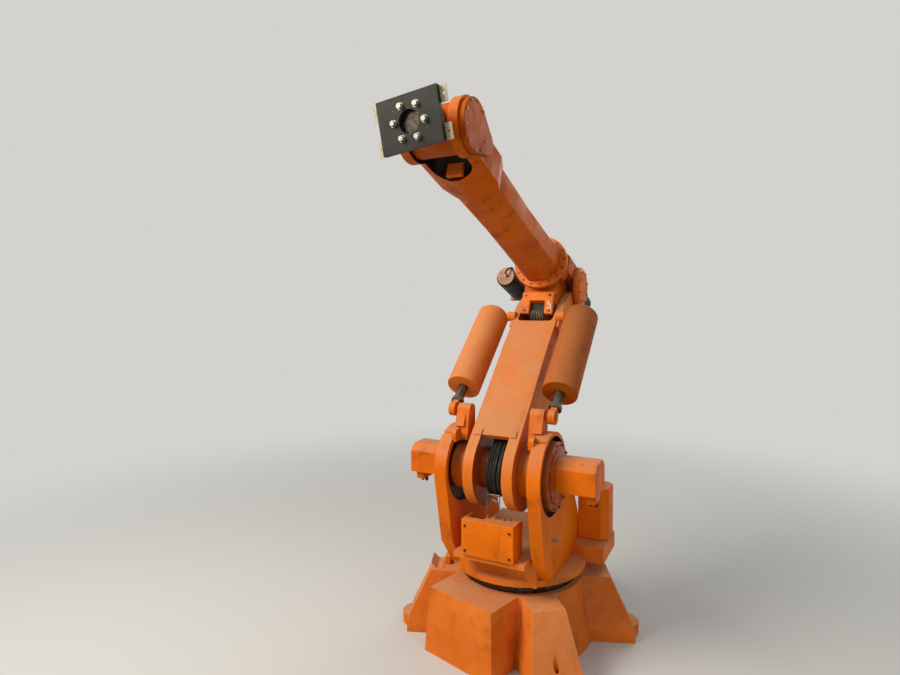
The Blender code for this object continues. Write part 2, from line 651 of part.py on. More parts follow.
def build_elbow(elbow):
    axis = (0, ELBOW_OFFSET)
    hub = disc(HUB_RADIUS, "Y", SEAT_GAP - WALL_INNER, WALL_INNER - SEAT_GAP)
    lower_box = block((HOUSING_REAR, HOUSING_FRONT), (-HOUSING_HALF, HOUSING_HALF),
                      (HOUSING_LOW, HOUSING_WIDE_LOW + OVERRUN))
    wide = HOUSING_WIDE_HALF
    slope = wide - HOUSING_CHAMFER
    upper = [(-wide, HOUSING_WIDE_LOW), (wide, HOUSING_WIDE_LOW), (wide, HOUSING_TOP - HOUSING_CHAMFER),
             (slope, HOUSING_TOP), (-slope, HOUSING_TOP), (-wide, HOUSING_TOP - HOUSING_CHAMFER)]
    upper_box = prism(upper, "X", HOUSING_REAR + SEAT_GAP, HOUSING_FRONT - OVERRUN)
    socket = disc(SOCKET_RADIUS, "X", HOUSING_FRONT - 2 * OVERRUN, SOCKET_END, axis)
    shape = fuse(hub, lower_box, upper_box, socket)
    for side in (1, -1):
        relief = block((HOUSING_FRONT - 3 * OVERRUN, SOCKET_END + OVERRUN),
                       sided(side, HOUSING_HALF + SEAT_GAP, ROLL_RING_RADIUS), (-OVERRUN, SOCKET_CLEAR))
        lug = [*arc((-LEVER_RADIUS, 0), REAR_LUG_RADIUS, 90, 270, 12), (0, -REAR_LUG_RADIUS),
               (0, REAR_LUG_TOP),
               (HOUSING_REAR, REAR_LUG_TOP)]
        shape = cut(shape, relief)
        shape = fuse(shape, prism(lug, "Y", *sided(side, *REAR_LUG)))
    pin = disc(LINK_PIN, "Y", -REAR_LUG[1] + OVERRUN / 4, REAR_LUG[1] - OVERRUN / 4, (-LEVER_RADIUS, 0),
               PIN_SEGMENTS)
    finish(fuse(shape, pin), "elbow_housing", elbow)

    low, high = FORK_PLATE_Z
    plate = prism([(-FORK_PLATE_HALF, low), (-FORK_SLOT_HALF, low), (-FORK_SLOT_HALF, FORK_SLOT_TOP),
                   (FORK_SLOT_HALF, FORK_SLOT_TOP), (FORK_SLOT_HALF, low), (FORK_PLATE_HALF, low),
                   (FORK_PLATE_HALF, high), (-FORK_PLATE_HALF, high)], "X",
                  HOUSING_FRONT + SEAT_GAP, HOUSING_FRONT + FORK_PLATE_THICK)
    finish(plate, "elbow_bracket", elbow)

    cover = turned([(HOUSING_WIDE_HALF + SEAT_GAP, GEAR_COVER_RADIUS),
                    (GEAR_COVER_OUTER - DOME / 2, GEAR_COVER_RADIUS),
                    (GEAR_COVER_OUTER, GEAR_COVER_RADIUS - DOME)], "Y", GEAR_COVER_PLACE)
    finish(cover, "elbow_gear_cover", elbow)

    back, front = AXIS_4_MOTOR_X
    mount = block((back - MOUNT_THICK, back - SEAT_GAP),
                  (AXIS_4_MOTOR_Y - AXIS_4_MOTOR_RADIUS, HOUSING_WIDE_HALF - HOUSING_CHAMFER),
                  (HOUSING_WIDE_LOW - OVERRUN, ELBOW_OFFSET + AXIS_4_MOTOR_RADIUS))
    finish(mount, "axis_4_mount", elbow)
    motor = turned([(back, AXIS_4_MOTOR_RADIUS), (front - DOME / 2, AXIS_4_MOTOR_RADIUS),
                    (front, AXIS_4_MOTOR_RADIUS - DOME / 2)], "X", (AXIS_4_MOTOR_Y, ELBOW_OFFSET))
    finish(motor, "axis_4_motor", elbow, "dark_motor")
    for side, name in ((1, "axis_5_motor"), (-1, "axis_6_motor")):
        shape = turned([(REAR_MOTOR_X, REAR_MOTOR_RADIUS - DOME / 2),
                        (REAR_MOTOR_X + DOME / 2, REAR_MOTOR_RADIUS),
                        (back - MOUNT_THICK - SEAT_GAP, REAR_MOTOR_RADIUS)], "X",
                        (side * REAR_MOTOR_Y, ELBOW_OFFSET))
        finish(shape, name, elbow, "dark_motor")


# Arm tube and wrist: X runs along the axis-4 line
TUBE_START = 0.27
WRIST_STEP = 0.37
TUBE_SHOULDER = 0.07
TUBE_WAIST_SHARE = 0.60
TUBE_SECTIONS = ((TUBE_START, 0.115, 0.115), (TUBE_START + TUBE_SHOULDER, 0.112, 0.112),
                 (TUBE_START + (UPPER_ARM_LENGTH - WRIST_STEP - TUBE_START) * TUBE_WAIST_SHARE, 0.104,
                  0.104),
                 (UPPER_ARM_LENGTH - WRIST_STEP, 0.108, 0.104))
TUBE_CORNER_SHARE = 0.45
WRIST_HALF = 0.13
WRIST_HEIGHT = 0.11
WRIST_FLAT = 0.02
WRIST_SIDE_FLAT = 0.06
WRIST_FLARE = 0.07
FORK_INNER = 0.09
FORK_BACK = 0.175
FORK_ROUND = 0.05
SIDE_COVER_RADIUS = 0.100
SIDE_COVER_OUTER = 0.155
SIDE_COVER_TAIL = 0.12
SIDE_COVER_TAIL_RADIUS = 0.045
ROUND_COVER_RADIUS = 0.09
ROUND_COVER_OUTER = 0.138
TILT_RADIUS = 0.094
SNOUT_RADIUS = 0.088
SNOUT_END = 0.155
DISC_RADIUS = 0.08
INNER_BLOCK_DEPTH = 0.02
INNER_BLOCK_HALF = 0.035
INNER_BLOCK_Z = (-0.095, -0.04)


def eight_sided(x, half, height, flat, side_flat):
    return [(x, flat, height), (x, half, side_flat), (x, half, -side_flat), (x, flat, -height),
            (x, -flat, -height), (x, -half, -side_flat), (x, -half, side_flat), (x, -flat, height)]


def build_tube(roll):
    ring = disc(ROLL_RING_RADIUS, "X", SOCKET_END + SEAT_GAP, TUBE_START)
    finish(ring, "roll_ring", roll)
    rings = []
    for x, half, height in TUBE_SECTIONS:
        flat = half * TUBE_CORNER_SHARE
        rings.append(eight_sided(x if x > TUBE_START else x + SEAT_GAP, half, height, flat, flat))
    finish(loft(rings), "arm_tube", roll)


def build_wrist_fork(wrist):
    step = -WRIST_STEP
    start = eight_sided(step + SEAT_GAP, TUBE_SECTIONS[-1][1], TUBE_SECTIONS[-1][2], WRIST_SIDE_FLAT / 2,
                        WRIST_SIDE_FLAT)
    full = eight_sided(step + WRIST_FLARE, WRIST_HALF, WRIST_HEIGHT, WRIST_FLAT, WRIST_SIDE_FLAT)
    end = eight_sided(0, WRIST_HALF, WRIST_HEIGHT, WRIST_FLAT, WRIST_SIDE_FLAT)
    shape = loft([start, full, end])
    for side in (1, -1):
        shape = fuse(shape, disc(WRIST_HEIGHT - SEAT_GAP, "Y",
                                 *sided(side, FORK_INNER - OVERRUN, WRIST_HALF - SEAT_GAP)))
    corner = FORK_INNER - FORK_ROUND
    mouth = [(WRIST_STEP, -FORK_INNER), (WRIST_STEP, FORK_INNER),
             *arc((FORK_ROUND - FORK_BACK, corner), FORK_ROUND, 90, 180, 6),
             *arc((FORK_ROUND - FORK_BACK, -corner), FORK_ROUND, 180, 270, 6)]
    shape = cut(shape, prism(mouth, "Z", -WRIST_HEIGHT - OVERRUN, WRIST_HEIGHT + OVERRUN))
    finish(shape, "wrist_fork", wrist)

    outline = [*arc((-SIDE_COVER_TAIL, 0), SIDE_COVER_TAIL_RADIUS, 120, 240, 8),
               *arc((0, 0), SIDE_COVER_RADIUS, -110, 110, 24)]
    finish(prism(outline, "Y", WRIST_HALF + SEAT_GAP, SIDE_COVER_OUTER), "wrist_side_cover", wrist)
    cover = disc(ROUND_COVER_RADIUS, "Y", -ROUND_COVER_OUTER, -WRIST_HALF - SEAT_GAP)
    finish(cover, "wrist_round_cover", wrist)
    inner = block((SEAT_GAP - FORK_BACK, INNER_BLOCK_DEPTH - FORK_BACK),
                  (-INNER_BLOCK_HALF, INNER_BLOCK_HALF), INNER_BLOCK_Z)
    finish(inner, "wrist_inner_block", wrist)


def build_tilt(tilt):
    body = disc(TILT_RADIUS, "Y", SEAT_GAP - FORK_INNER, FORK_INNER - SEAT_GAP)
    snout = turned([(0, SNOUT_RADIUS - SEAT_GAP), (SNOUT_END, SNOUT_RADIUS - DOME / 2)], "X")
    finish(fuse(body, snout), "tilt_housing", tilt)


# Tool plate with its four corner straps
PLATE_THICK = 0.02
PLATE_HALF = 0.124
PLATE_HEIGHT = 0.0935
PLATE_HOLE = 0.041
STRAP_THICK = 0.004
STRAP_Y = (0.095, 0.150)
STRAP_Z = (0.034, 0.091)
STRAP_HOLE = 0.005


def build_tool(tool):
    finish(disc(DISC_RADIUS, "X", SNOUT_END + SEAT_GAP, FLANGE_REACH), "turning_disc", tool, "steel")
    back = FLANGE_REACH + SEAT_GAP
    plate = block((back, back + PLATE_THICK), (-PLATE_HALF, PLATE_HALF), (-PLATE_HEIGHT, PLATE_HEIGHT))
    plate = cut(plate, disc(PLATE_HOLE, "X", back - OVERRUN, back + PLATE_THICK + OVERRUN))
    finish(plate, "tool_plate", tool, "grey_plate")
    for side, side_name in ((1, "left"), (-1, "right")):
        for way, way_name in ((1, "upper"), (-1, "lower")):
            strap = block((FLANGE_REACH - STRAP_THICK, FLANGE_REACH), sided(side, *STRAP_Y),
                          sided(way, *STRAP_Z))
            hole = (side * (PLATE_HALF + STRAP_Y[1]) / 2, way * (STRAP_Z[0] + STRAP_Z[1]) / 2)
            strap = cut(strap, disc(STRAP_HOLE, "X", FLANGE_REACH - OVERRUN, FLANGE_REACH + OVERRUN, hole,
                                    PIN_SEGMENTS))
            finish(strap, way_name + "_" + side_name + "_strap", tool, "cream_tab")


def balancer_line():
    """The length and lean of the line from a rod's eye to its cylinder's pivot on the lower arm."""
    forward = SHOULDER_FORWARD - PIVOT_HEIGHT * math.sin(LEAN) + PIVOT_DEPTH * math.cos(LEAN) - ROD_EYE[0]
    upward = SHOULDER_HEIGHT + PIVOT_HEIGHT * math.cos(LEAN) + PIVOT_DEPTH * math.sin(LEAN) - ROD_EYE[1]
    return math.hypot(forward, upward), math.atan2(forward, upward)


def build_robot():
    base = holder("base_frame", spin=BASE_TURN)
    stand = holder("axis_1")
    shoulder = (SHOULDER_FORWARD, 0, SHOULDER_HEIGHT)
    lower = holder("axis_2", stand, shoulder, -LEAN)
    elbow = holder("axis_3", lower, (0, 0, LOWER_ARM_LENGTH), LEAN - ELEVATION)
    lever = holder("lever_axis", stand, shoulder, -ELEVATION)
    bar = holder("bar_axis", elbow, (-LEVER_RADIUS, 0, 0), ELEVATION - LEAN)
    roll = holder("axis_4", elbow, (0, 0, ELBOW_OFFSET))
    wrist = holder("wrist_frame", roll, (UPPER_ARM_LENGTH, 0, 0))
    tilt = holder("axis_5", wrist, lean=ELEVATION + TOOL_DIP)
    tool = holder("axis_6", tilt, roll=TOOL_ROLL)
    build_base(base)
    build_stand(stand)
    build_lower_arm(lower)
    build_lever(lever)
    build_bar(bar)
    build_elbow(elbow)
    build_tube(roll)
    build_wrist_fork(wrist)
    build_tilt(tilt)
    build_tool(tool)
    rest_length, rest_lean = balancer_line()
    for side, name in ((1, "left"), (-1, "right")):
        eye = (ROD_EYE[0], side * ROD_Y, ROD_EYE[1])
        rod = holder(name + "_rod_axis", stand, eye, rest_lean)
        cylinder = holder(name + "_cylinder_frame", rod, (0, 0, rest_length))
        build_rod(rod, rest_length, name)
        build_cylinder(cylinder, rest_length, name)


build_robot()
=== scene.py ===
# %% [markdown]
# # Dressing an orange six-axis robot arm
#
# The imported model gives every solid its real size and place. This script keeps them all where they are and adds the
# looks: softened edges on the castings, worn and dusty enamel, screws, hoses and connectors. Each step is one cell.

import json
import math
import random

import bmesh
import bpy
from mathutils import Matrix, Vector

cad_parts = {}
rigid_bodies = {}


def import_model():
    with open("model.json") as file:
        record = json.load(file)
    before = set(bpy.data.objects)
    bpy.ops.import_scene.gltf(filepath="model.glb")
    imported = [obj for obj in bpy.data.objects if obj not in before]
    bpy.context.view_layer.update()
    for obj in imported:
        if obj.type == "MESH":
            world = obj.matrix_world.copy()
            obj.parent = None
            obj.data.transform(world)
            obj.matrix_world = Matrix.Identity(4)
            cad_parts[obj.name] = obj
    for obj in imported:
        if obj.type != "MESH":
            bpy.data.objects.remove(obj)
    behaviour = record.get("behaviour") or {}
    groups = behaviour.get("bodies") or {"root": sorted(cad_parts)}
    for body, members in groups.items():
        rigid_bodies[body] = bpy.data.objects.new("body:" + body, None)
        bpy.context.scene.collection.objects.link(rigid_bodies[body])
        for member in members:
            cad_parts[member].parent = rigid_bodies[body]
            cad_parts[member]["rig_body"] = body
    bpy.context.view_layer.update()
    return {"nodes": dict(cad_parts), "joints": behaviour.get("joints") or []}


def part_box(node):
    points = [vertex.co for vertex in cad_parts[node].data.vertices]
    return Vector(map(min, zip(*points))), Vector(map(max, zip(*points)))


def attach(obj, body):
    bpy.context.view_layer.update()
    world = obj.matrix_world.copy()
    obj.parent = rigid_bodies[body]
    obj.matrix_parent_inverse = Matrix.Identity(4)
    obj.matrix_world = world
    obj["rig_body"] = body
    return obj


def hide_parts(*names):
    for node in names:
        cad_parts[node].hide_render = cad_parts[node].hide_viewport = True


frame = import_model()
nodes = frame["nodes"]
joints = {joint["name"]: joint for joint in frame["joints"]}

# %% [markdown]
# ## The camera
#
# The photograph was taken with a wide phone lens, close to the robot's front left and level with its elbow. A wide
# lens near the object makes the tool plate large and the base small, so the place matters more than the zoom. Both
# were fitted to points on the robot, and the camera is built here from its heading, pitch and roll.

# %% Aim the camera
IMAGE_WIDTH_PX = 900
FOCAL_LENGTH_PX = 573.1
SENSOR_WIDTH_MM = 36
CAMERA_PLACE = Vector((2.7972, 1.0551, 1.6805))
CAMERA_HEADING = Vector((-0.88623, -0.46325, 0)).normalized()
CAMERA_PITCH = math.radians(2.89)
CAMERA_ROLL = math.radians(0.15)
SIDE = Vector((0, 1, 0))
UP = Vector((0, 0, 1))


def aim_camera():
    """Start level along the heading, then tip down by the pitch and turn by the roll."""
    right = CAMERA_HEADING.cross(UP)
    forward = CAMERA_HEADING * math.cos(CAMERA_PITCH) - UP * math.sin(CAMERA_PITCH)
    level_up = UP * math.cos(CAMERA_PITCH) + CAMERA_HEADING * math.sin(CAMERA_PITCH)
    rolled_right = right * math.cos(CAMERA_ROLL) - level_up * math.sin(CAMERA_ROLL)
    rolled_up = level_up * math.cos(CAMERA_ROLL) + right * math.sin(CAMERA_ROLL)
    lens = bpy.data.cameras.new("photo_camera")
    lens.sensor_width = SENSOR_WIDTH_MM
    lens.lens = FOCAL_LENGTH_PX / IMAGE_WIDTH_PX * SENSOR_WIDTH_MM
    camera = bpy.data.objects.new("photo_camera", lens)
    turn = Matrix((rolled_right, rolled_up, -forward)).transposed().to_4x4()
    camera.matrix_world = Matrix.Translation(CAMERA_PLACE) @ turn
    bpy.context.scene.collection.objects.link(camera)
    bpy.context.scene.camera = camera
    print("lens", round(lens.lens, 1), "mm")


aim_camera()

# %% [markdown]
# ## Places on the arm
#
# Every piece is built straight in world coordinates, so it sits at the origin and only its mesh has a place. The
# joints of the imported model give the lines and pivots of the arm, and a placing matrix turns a spot on one link, such
# as "9 cm out from the wrist", into world coordinates. The links lean in the photographed pose, so this saves a lot of
# trigonometry.

# %% Placing matrices
def spot(origin, x_axis, y_axis):
    """A placing matrix from an origin and two directions."""
    x_axis = Vector(x_axis).normalized()
    y_axis = (Vector(y_axis) - x_axis * Vector(y_axis).dot(x_axis)).normalized()
    turn = Matrix((x_axis, y_axis, x_axis.cross(y_axis))).transposed()
    return Matrix.Translation(Vector(origin)) @ turn.to_4x4()


def outward(origin, side):
    """A spot at a world point whose X points sideways out of the robot: side is 1 for left and -1 for right."""
    return spot(origin, SIDE * side, Vector((1, 0, 0)))


SHOULDER = Vector(joints["axis_2"]["pos_m"])
ELBOW = Vector(joints["axis_3"]["pos_m"])
WRIST = Vector(joints["axis_5"]["pos_m"])
ARM_LINE = Vector(joints["axis_4"]["axis"])
TOOL_LINE = Vector(joints["axis_6"]["axis"])
LEG_LINE = (ELBOW - SHOULDER).normalized()
lower_spot = spot(SHOULDER, SIDE.cross(LEG_LINE), SIDE)
elbow_spot = spot(ELBOW, ARM_LINE, SIDE)
roll_spot = spot(joints["axis_4"]["pos_m"], ARM_LINE, SIDE)
wrist_spot = spot(WRIST, ARM_LINE, SIDE)
tool_spot = spot(WRIST, TOOL_LINE, SIDE)
print("lower arm", round((ELBOW - SHOULDER).length, 3), "m, wrist", round(WRIST.z, 3), "m up")

# %% [markdown]
# ## Pieces and colours
#
# Each mesh becomes a piece in the same way: it gets one material, smooth faces with its sharp edges kept, and the body
# that it rides on. Colours are written as sRGB hex codes, as a colour picker shows them, and one function turns them
# into the linear values that Blender's shaders compute with.

# %% Turn a mesh into a piece
def srgb(code):
    """The linear colour of an sRGB hex code."""
    channels = [int(code[i:i + 2], 16) / 255 for i in (1, 3, 5)]
    linear = [c / 12.92 if c <= 0.04045 else ((c + 0.055) / 1.055) ** 2.4 for c in channels]
    return (*linear, 1)


def mesh_piece(name, mesh, material, body, smooth=35):
    """Give a mesh its material, its sharp edges (angle in degrees) and a body to ride on."""
    mesh.materials.clear()
    mesh.materials.append(material)
    mesh.shade_smooth()
    mesh.set_sharp_from_angle(angle=math.radians(smooth))
    piece = bpy.data.objects.new(name, mesh)
    bpy.context.scene.collection.objects.link(piece)
    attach(piece, body)
    return piece


def new_piece(name, bm, material, body, smooth=35):
    """Turn all faces of a bmesh outwards and make it a piece."""
    mesh = bpy.data.meshes.new(name)
    bmesh.ops.recalc_face_normals(bm, faces=bm.faces)
    bm.to_mesh(mesh)
    bm.free()
    return mesh_piece(name, mesh, material, body, smooth)


print("mid grey #808080 is", round(srgb("#808080")[0], 3), "in linear light")

# %% [markdown]
# ## Materials
#
# The robot is cast iron and sheet steel under sprayed alkyd enamel, the usual machine paint. New, it is a glossy
# yellowish orange. After years in a workshop its gloss is gone in patches, oily dirt has settled in blotches, streaks
# run down the uprights, and brown dust lies on every face that looks up. One function lays these down in that order,
# so all castings share one finish and only the colours and the amounts differ. Patterns use Object coordinates in
# metres, so a noise with patches of 11 cm has a scale of 9, and the 2.4 mm orange peel of sprayed paint one of 420.

# %% One helper for every shader node
def add_node(tree, kind, links=None, **settings):
    """Add a node, set its properties and input values, and link what comes from other nodes."""
    node = tree.nodes.new(kind)
    for name, value in settings.items():
        setattr(node, name, value)
    for name, value in (links or {}).items():
        socket = node.inputs[name]
        if isinstance(value, bpy.types.NodeSocket):
            tree.links.new(value, socket)
        else:
            socket.default_value = value
    return node


# %% Patches of a real size, and colours laid over each other
MM_PER_METRE = 1000
NOISE_ROUGHNESS = 0.62


def patches(tree, size_mm, low, high, amount=1.0, floor=0.0, detail=5.0, stretch=(1, 1, 1)):
    """A noise on Object coordinates, cut between two levels and spread from a floor to an amount."""
    place = add_node(tree, "ShaderNodeTexCoord").outputs["Object"]
    place = add_node(tree, "ShaderNodeMapping", {"Vector": place, "Scale": stretch}).outputs["Vector"]
    noise = add_node(tree, "ShaderNodeTexNoise", {
        "Vector": place, "Scale": MM_PER_METRE / size_mm, "Detail": detail, "Roughness": NOISE_ROUGHNESS})
    return add_node(tree, "ShaderNodeMapRange", {
        "Value": noise.outputs["Fac"], "From Min": low, "From Max": high,
        "To Min": floor, "To Max": amount}).outputs["Result"]


def lay_colours(tree, first, layers):
    """Lay colours over a first one, each by its own share, and return the last result."""
    colour = srgb(first)
    for share, code in layers:
        mix = add_node(tree, "ShaderNodeMix", {"Factor": share, "A": colour, "B": srgb(code)}, data_type="RGBA")
        colour = mix.outputs["Result"]
    return colour


print("patches of 100 mm have a noise scale of", MM_PER_METRE / 100)

# %% Dust that lies on faces that look up
DUST_PATCH_MM = 200
DUST_STARTS = 0.10
DUST_FULL = 0.92


def dust_share(tree, amount):
    """Dust by how far a face looks up, thinner in patches where a cloth or a sleeve went over it."""
    normal = add_node(tree, "ShaderNodeNewGeometry").outputs["Normal"]
    height = add_node(tree, "ShaderNodeSeparateXYZ", {"Vector": normal}).outputs["Z"]
    facing = add_node(tree, "ShaderNodeMapRange", {
        "Value": height, "From Min": DUST_STARTS, "From Max": DUST_FULL}).outputs["Result"]
    thickness = patches(tree, DUST_PATCH_MM, 0.30, 0.60, amount, amount * 0.5)
    both = add_node(tree, "ShaderNodeMath", {0: facing, 1: thickness}, operation="MULTIPLY")
    return both.outputs["Value"]


print("dust is full where a face leans less than", round(math.degrees(math.acos(DUST_FULL))), "degrees")

# %% A new material and its fine grain
SHEEN_PATCH_MM = 71.43
BUMP_STRENGTH = 0.25


def start_material(name, roughness, metallic=0.0, gloss=0.5):
    """A material with patchy sheen, whose gloss and metalness are constants on the shader's own sockets."""
    material = bpy.data.materials.new(name)
    material.use_nodes = True
    tree = material.node_tree
    shader = tree.nodes["Principled BSDF"]
    shader.inputs["Metallic"].default_value = metallic
    shader.inputs["Specular IOR Level"].default_value = gloss
    low, high = roughness
    tree.links.new(patches(tree, SHEEN_PATCH_MM, 0.3, 0.7, high, low), shader.inputs["Roughness"])
    return material, tree, shader


def finish_surface(tree, shader, colour, grain_mm, grain_depth_mm, detail):
    """Link the colour and raise a fine grain on the surface."""
    tree.links.new(colour, shader.inputs["Base Color"])
    grain = patches(tree, grain_mm, 0.2, 0.8, detail=detail)
    bump = add_node(tree, "ShaderNodeBump", {
        "Height": grain, "Distance": grain_depth_mm / MM_PER_METRE, "Strength": BUMP_STRENGTH})
    tree.links.new(bump.outputs["Normal"], shader.inputs["Normal"])


# %% Worn enamel on castings
TONE_MM = 416.7
GRIME_MM = 111.1
STREAK_MM = 38.46
STREAK_STRETCH = (1, 1, 0.16)
CHIP_MM = 14.286
CHIP_EDGE = 0.015
ORANGE_PEEL_MM = 2.381
ORANGE_PEEL_DEPTH_MM = 0.25


def enamel(name, main, shade, dust, dust_amount, grime="#4A1D04", dirt=0.5, chip="#3A2A22", chips=0.69,
           roughness=(0.38, 0.66), gloss=0.22):
    """Alkyd enamel: tone, blotches of oily dirt, streaks, dust, chips down to the primer, and orange peel."""
    material, tree, shader = start_material(name, roughness, gloss=gloss)
    colour = lay_colours(tree, main, (
        (patches(tree, TONE_MM, 0.35, 0.65, detail=3.0), shade),
        (patches(tree, GRIME_MM, 0.54, 0.74, dirt, detail=8.0), grime),
        (patches(tree, STREAK_MM, 0.58, 0.78, dirt * 0.7, stretch=STREAK_STRETCH), grime),
        (dust_share(tree, dust_amount), dust),
        (patches(tree, CHIP_MM, chips, chips + CHIP_EDGE), chip)))
    finish_surface(tree, shader, colour, ORANGE_PEEL_MM, ORANGE_PEEL_DEPTH_MM, 3.0)
    return material


# %% The orange enamels
# The best kept paint: a clear yellowish orange with little gloss.
ORANGE = enamel("orange_enamel", "#E17000", "#CA5E00", "#BE875E", 0.80, gloss=0.14)
# The tube, fork and elbow get oil from the wrist: more blotches of dirt, on a darker, browner orange that is partly
# painted shade.
WORN_AND_SHADE_ORANGE = enamel("worn_and_shade_arm_enamel", "#CF6300", "#B04E00", "#B87F54", 0.70, dirt=0.7, gloss=0.12)
# Large faces near the floor: bleached by a film of dust that takes the yellow out of the orange.
DUSTY_ORANGE = enamel("dusty_orange_enamel", "#DC7A2C", "#CB6719", "#C18A62", 0.95, dirt=0.35, gloss=0.12)
# The left cylinder: painted shade, a darker copy of the dusty paint for the cylinder that lies in shade.
PAINTED_SHADE_ORANGE = enamel("painted_shade_orange_enamel", "#B65A10", "#9A4808", "#A8754E", 0.80, dirt=0.6, gloss=0.10)
# The wrist's covers: dull, handled paint, brown between the screws, and darker as painted shade for covers that face
# away from the key lamp.
COVER_SHADE_ORANGE = enamel("wrist_cover_shade_enamel", "#BC5200", "#A04400", "#9A5E2C", 0.30, dirt=0.6, gloss=0.08)
# Greasy parts round the gearboxes: a dark red brown that shines where the grease is wet. It is also painted shade on
# the inner sides of the legs.
GREASE_AND_SHADE_ORANGE = enamel("greasy_and_shade_orange_enamel", "#A34200", "#853300", "#9C6A44", 0.55, dirt=0.7,
                     roughness=(0.28, 0.5), gloss=0.35)
# Painted shade for hollows: a nearly black orange that stands in for the shade inside them.
HOLLOW_SHADE_ORANGE = enamel("painted_hollow_shade_enamel", "#3A1602", "#180801", "#4A2A18", 0.30, grime="#0C0401", dirt=0.9,
                       roughness=(0.3, 0.55))
print("oranges:", sorted(material.name for material in bpy.data.materials if "enamel" in material.name))

# %% The other enamels
# Motor paint: black stoving enamel that looks brown, because dust lies on it.
MOTOR_BLACK = enamel("black_motor_enamel", "#2A2520", "#1B1714", "#8E735B", 0.9, grime="#0F0D0B", chip="#6B6258")
# The tool plate: dark grey satin paint, chipped down to bright steel.
PLATE_GREY = enamel("grey_plate_enamel", "#20211D", "#191A17", "#3A3A34", 0.3, grime="#121312", chip="#7A7870",
                    roughness=(0.40, 0.62))
# The four straps: cream paint with many dark chips, from the tools that were fixed there.
CREAM = enamel("cream_strap_enamel", "#BDB69A", "#A8A086", "#C8C2AA", 0.4, grime="#5A5142", chip="#4C463C",
               chips=0.63)
print(len(bpy.data.materials), "materials so far")

# %% [markdown]
# Bare metal shows in few places: the balancer rods are ground steel under an oil film, the flange bolts are zinc
# plated, and the slewing ring is greasy cast steel. Metals keep the default IOR, and their colour is what they
# reflect. Conduits and plugs are matt rubber and nylon, which has no metalness and a wide, weak highlight.

# %% Bare metals, rubber and nylon
GRAIN_DEPTH_MM = 0.1
BRUSHED_MM = 1.6667
MOULDED_MM = 3.3333


def plain_finish(name, main, worn, roughness, metallic=0.0, gloss=0.5, patch_mm=25, grain_mm=BRUSHED_MM):
    """Two tones in patches, and a fine bump: brushed, plated or cast metal, or moulded rubber."""
    material, tree, shader = start_material(name, roughness, metallic, gloss)
    colour = lay_colours(tree, main, ((patches(tree, patch_mm, 0.42, 0.70, detail=6.0), worn),))
    finish_surface(tree, shader, colour, grain_mm, GRAIN_DEPTH_MM, 2.0)
    return material


# Zinc plating: a pale green grey with small dull spots.
ZINC = plain_finish("zinc_plated_steel", "#9DA196", "#6E7168", (0.35, 0.55), 0.9, patch_mm=8.3333)
# Ground steel under oil: the highlight is narrow, and the oil makes it olive brown.
ROD_STEEL = plain_finish("oily_ground_steel", "#7A7668", "#4E4A40", (0.25, 0.45), 0.9, patch_mm=16.667)
# Bent wire: half bright and half rust.
WIRE_STEEL = plain_finish("rusty_wire_steel", "#A08C74", "#6A4A32", (0.4, 0.6), 0.7, patch_mm=16.667)
# Cast steel in grease: almost black, with wet highlights.
DARK_STEEL = plain_finish("greasy_cast_steel", "#4C463F", "#1E1A17", (0.2, 0.45), 0.9, patch_mm=16.667)
# Conduit: grey nylon, dull, with brown dust between its ribs.
GREY_NYLON = plain_finish("grey_corrugated_nylon", "#55524A", "#7B7362", (0.55, 0.75), gloss=0.3,
                          patch_mm=33.333, grain_mm=MOULDED_MM)
# Cable sheath: black rubber, greyed by handling.
BLACK_RUBBER = plain_finish("black_cable_rubber", "#171615", "#2C2A28", (0.55, 0.75), gloss=0.3,
                            patch_mm=33.333, grain_mm=MOULDED_MM)
# Clip: white nylon, yellowed.
WHITE_NYLON = plain_finish("white_nylon_clip", "#D8D6CC", "#B2AD9C", (0.4, 0.6), gloss=0.3)
# The side motor's end cap: a pinkish dust so thick that no paint shows.
DUSTY_CAP = plain_finish("dusty_motor_cap", "#B5907A", "#8A6A58", (0.6, 0.8), gloss=0.2,
                         patch_mm=55.556, grain_mm=MOULDED_MM)
print(len(bpy.data.materials), "materials in all")

# %% [markdown]
# ## Softened castings
#
# No cast or folded edge is sharp: the castings have radii of a few millimetres, and the light along them is what
# makes them look solid. The CAD node itself stays as it is. It gets a copy whose flat faces are merged again and
# whose sharp edges are bevelled, and the copy stands for the node. A bevel modifier is used rather than a subdivision,
# because it leaves the large flats truly flat.

# %% Bevel a copy of a node
MERGE_DISTANCE = 0.00002
FLAT_ANGLE = math.radians(0.6)
EDGE_ANGLE = math.radians(32)


def plain_mesh(thing):
    """The mesh of an object with its modifiers carried out."""
    return bpy.data.meshes.new_from_object(thing.evaluated_get(bpy.context.evaluated_depsgraph_get()))


def soften(node, material, width, segments=2):
    """A copy of a solid with rounded edges, which stands for that solid."""
    bm = bmesh.new()
    bm.from_mesh(nodes[node].data)
    bmesh.ops.remove_doubles(bm, verts=bm.verts, dist=MERGE_DISTANCE)
    bmesh.ops.dissolve_limit(bm, angle_limit=FLAT_ANGLE, verts=bm.verts, edges=bm.edges)
    piece = new_piece(node + "_finish", bm, material, nodes[node]["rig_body"])
    bevel = piece.modifiers.new("edges", "BEVEL")
    bevel.width = width
    bevel.segments = segments
    bevel.limit_method = "ANGLE"
    bevel.angle_limit = EDGE_ANGLE
    bevel.use_clamp_overlap = True
    bevel.harden_normals = True
    mesh = plain_mesh(piece)
    piece.modifiers.clear()
    piece.data = mesh
    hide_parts(node)
    return piece


def repaint_faces(piece, material, chosen):
    """Give the faces that a test picks another material: a hollow, a cap or a painted end."""
    piece.data.materials.append(material)
    picked = [face for face in piece.data.polygons if chosen(face)]
    for face in picked:
        face.material_index = len(piece.data.materials) - 1
    print(piece.name, len(picked), "faces in", material.name)


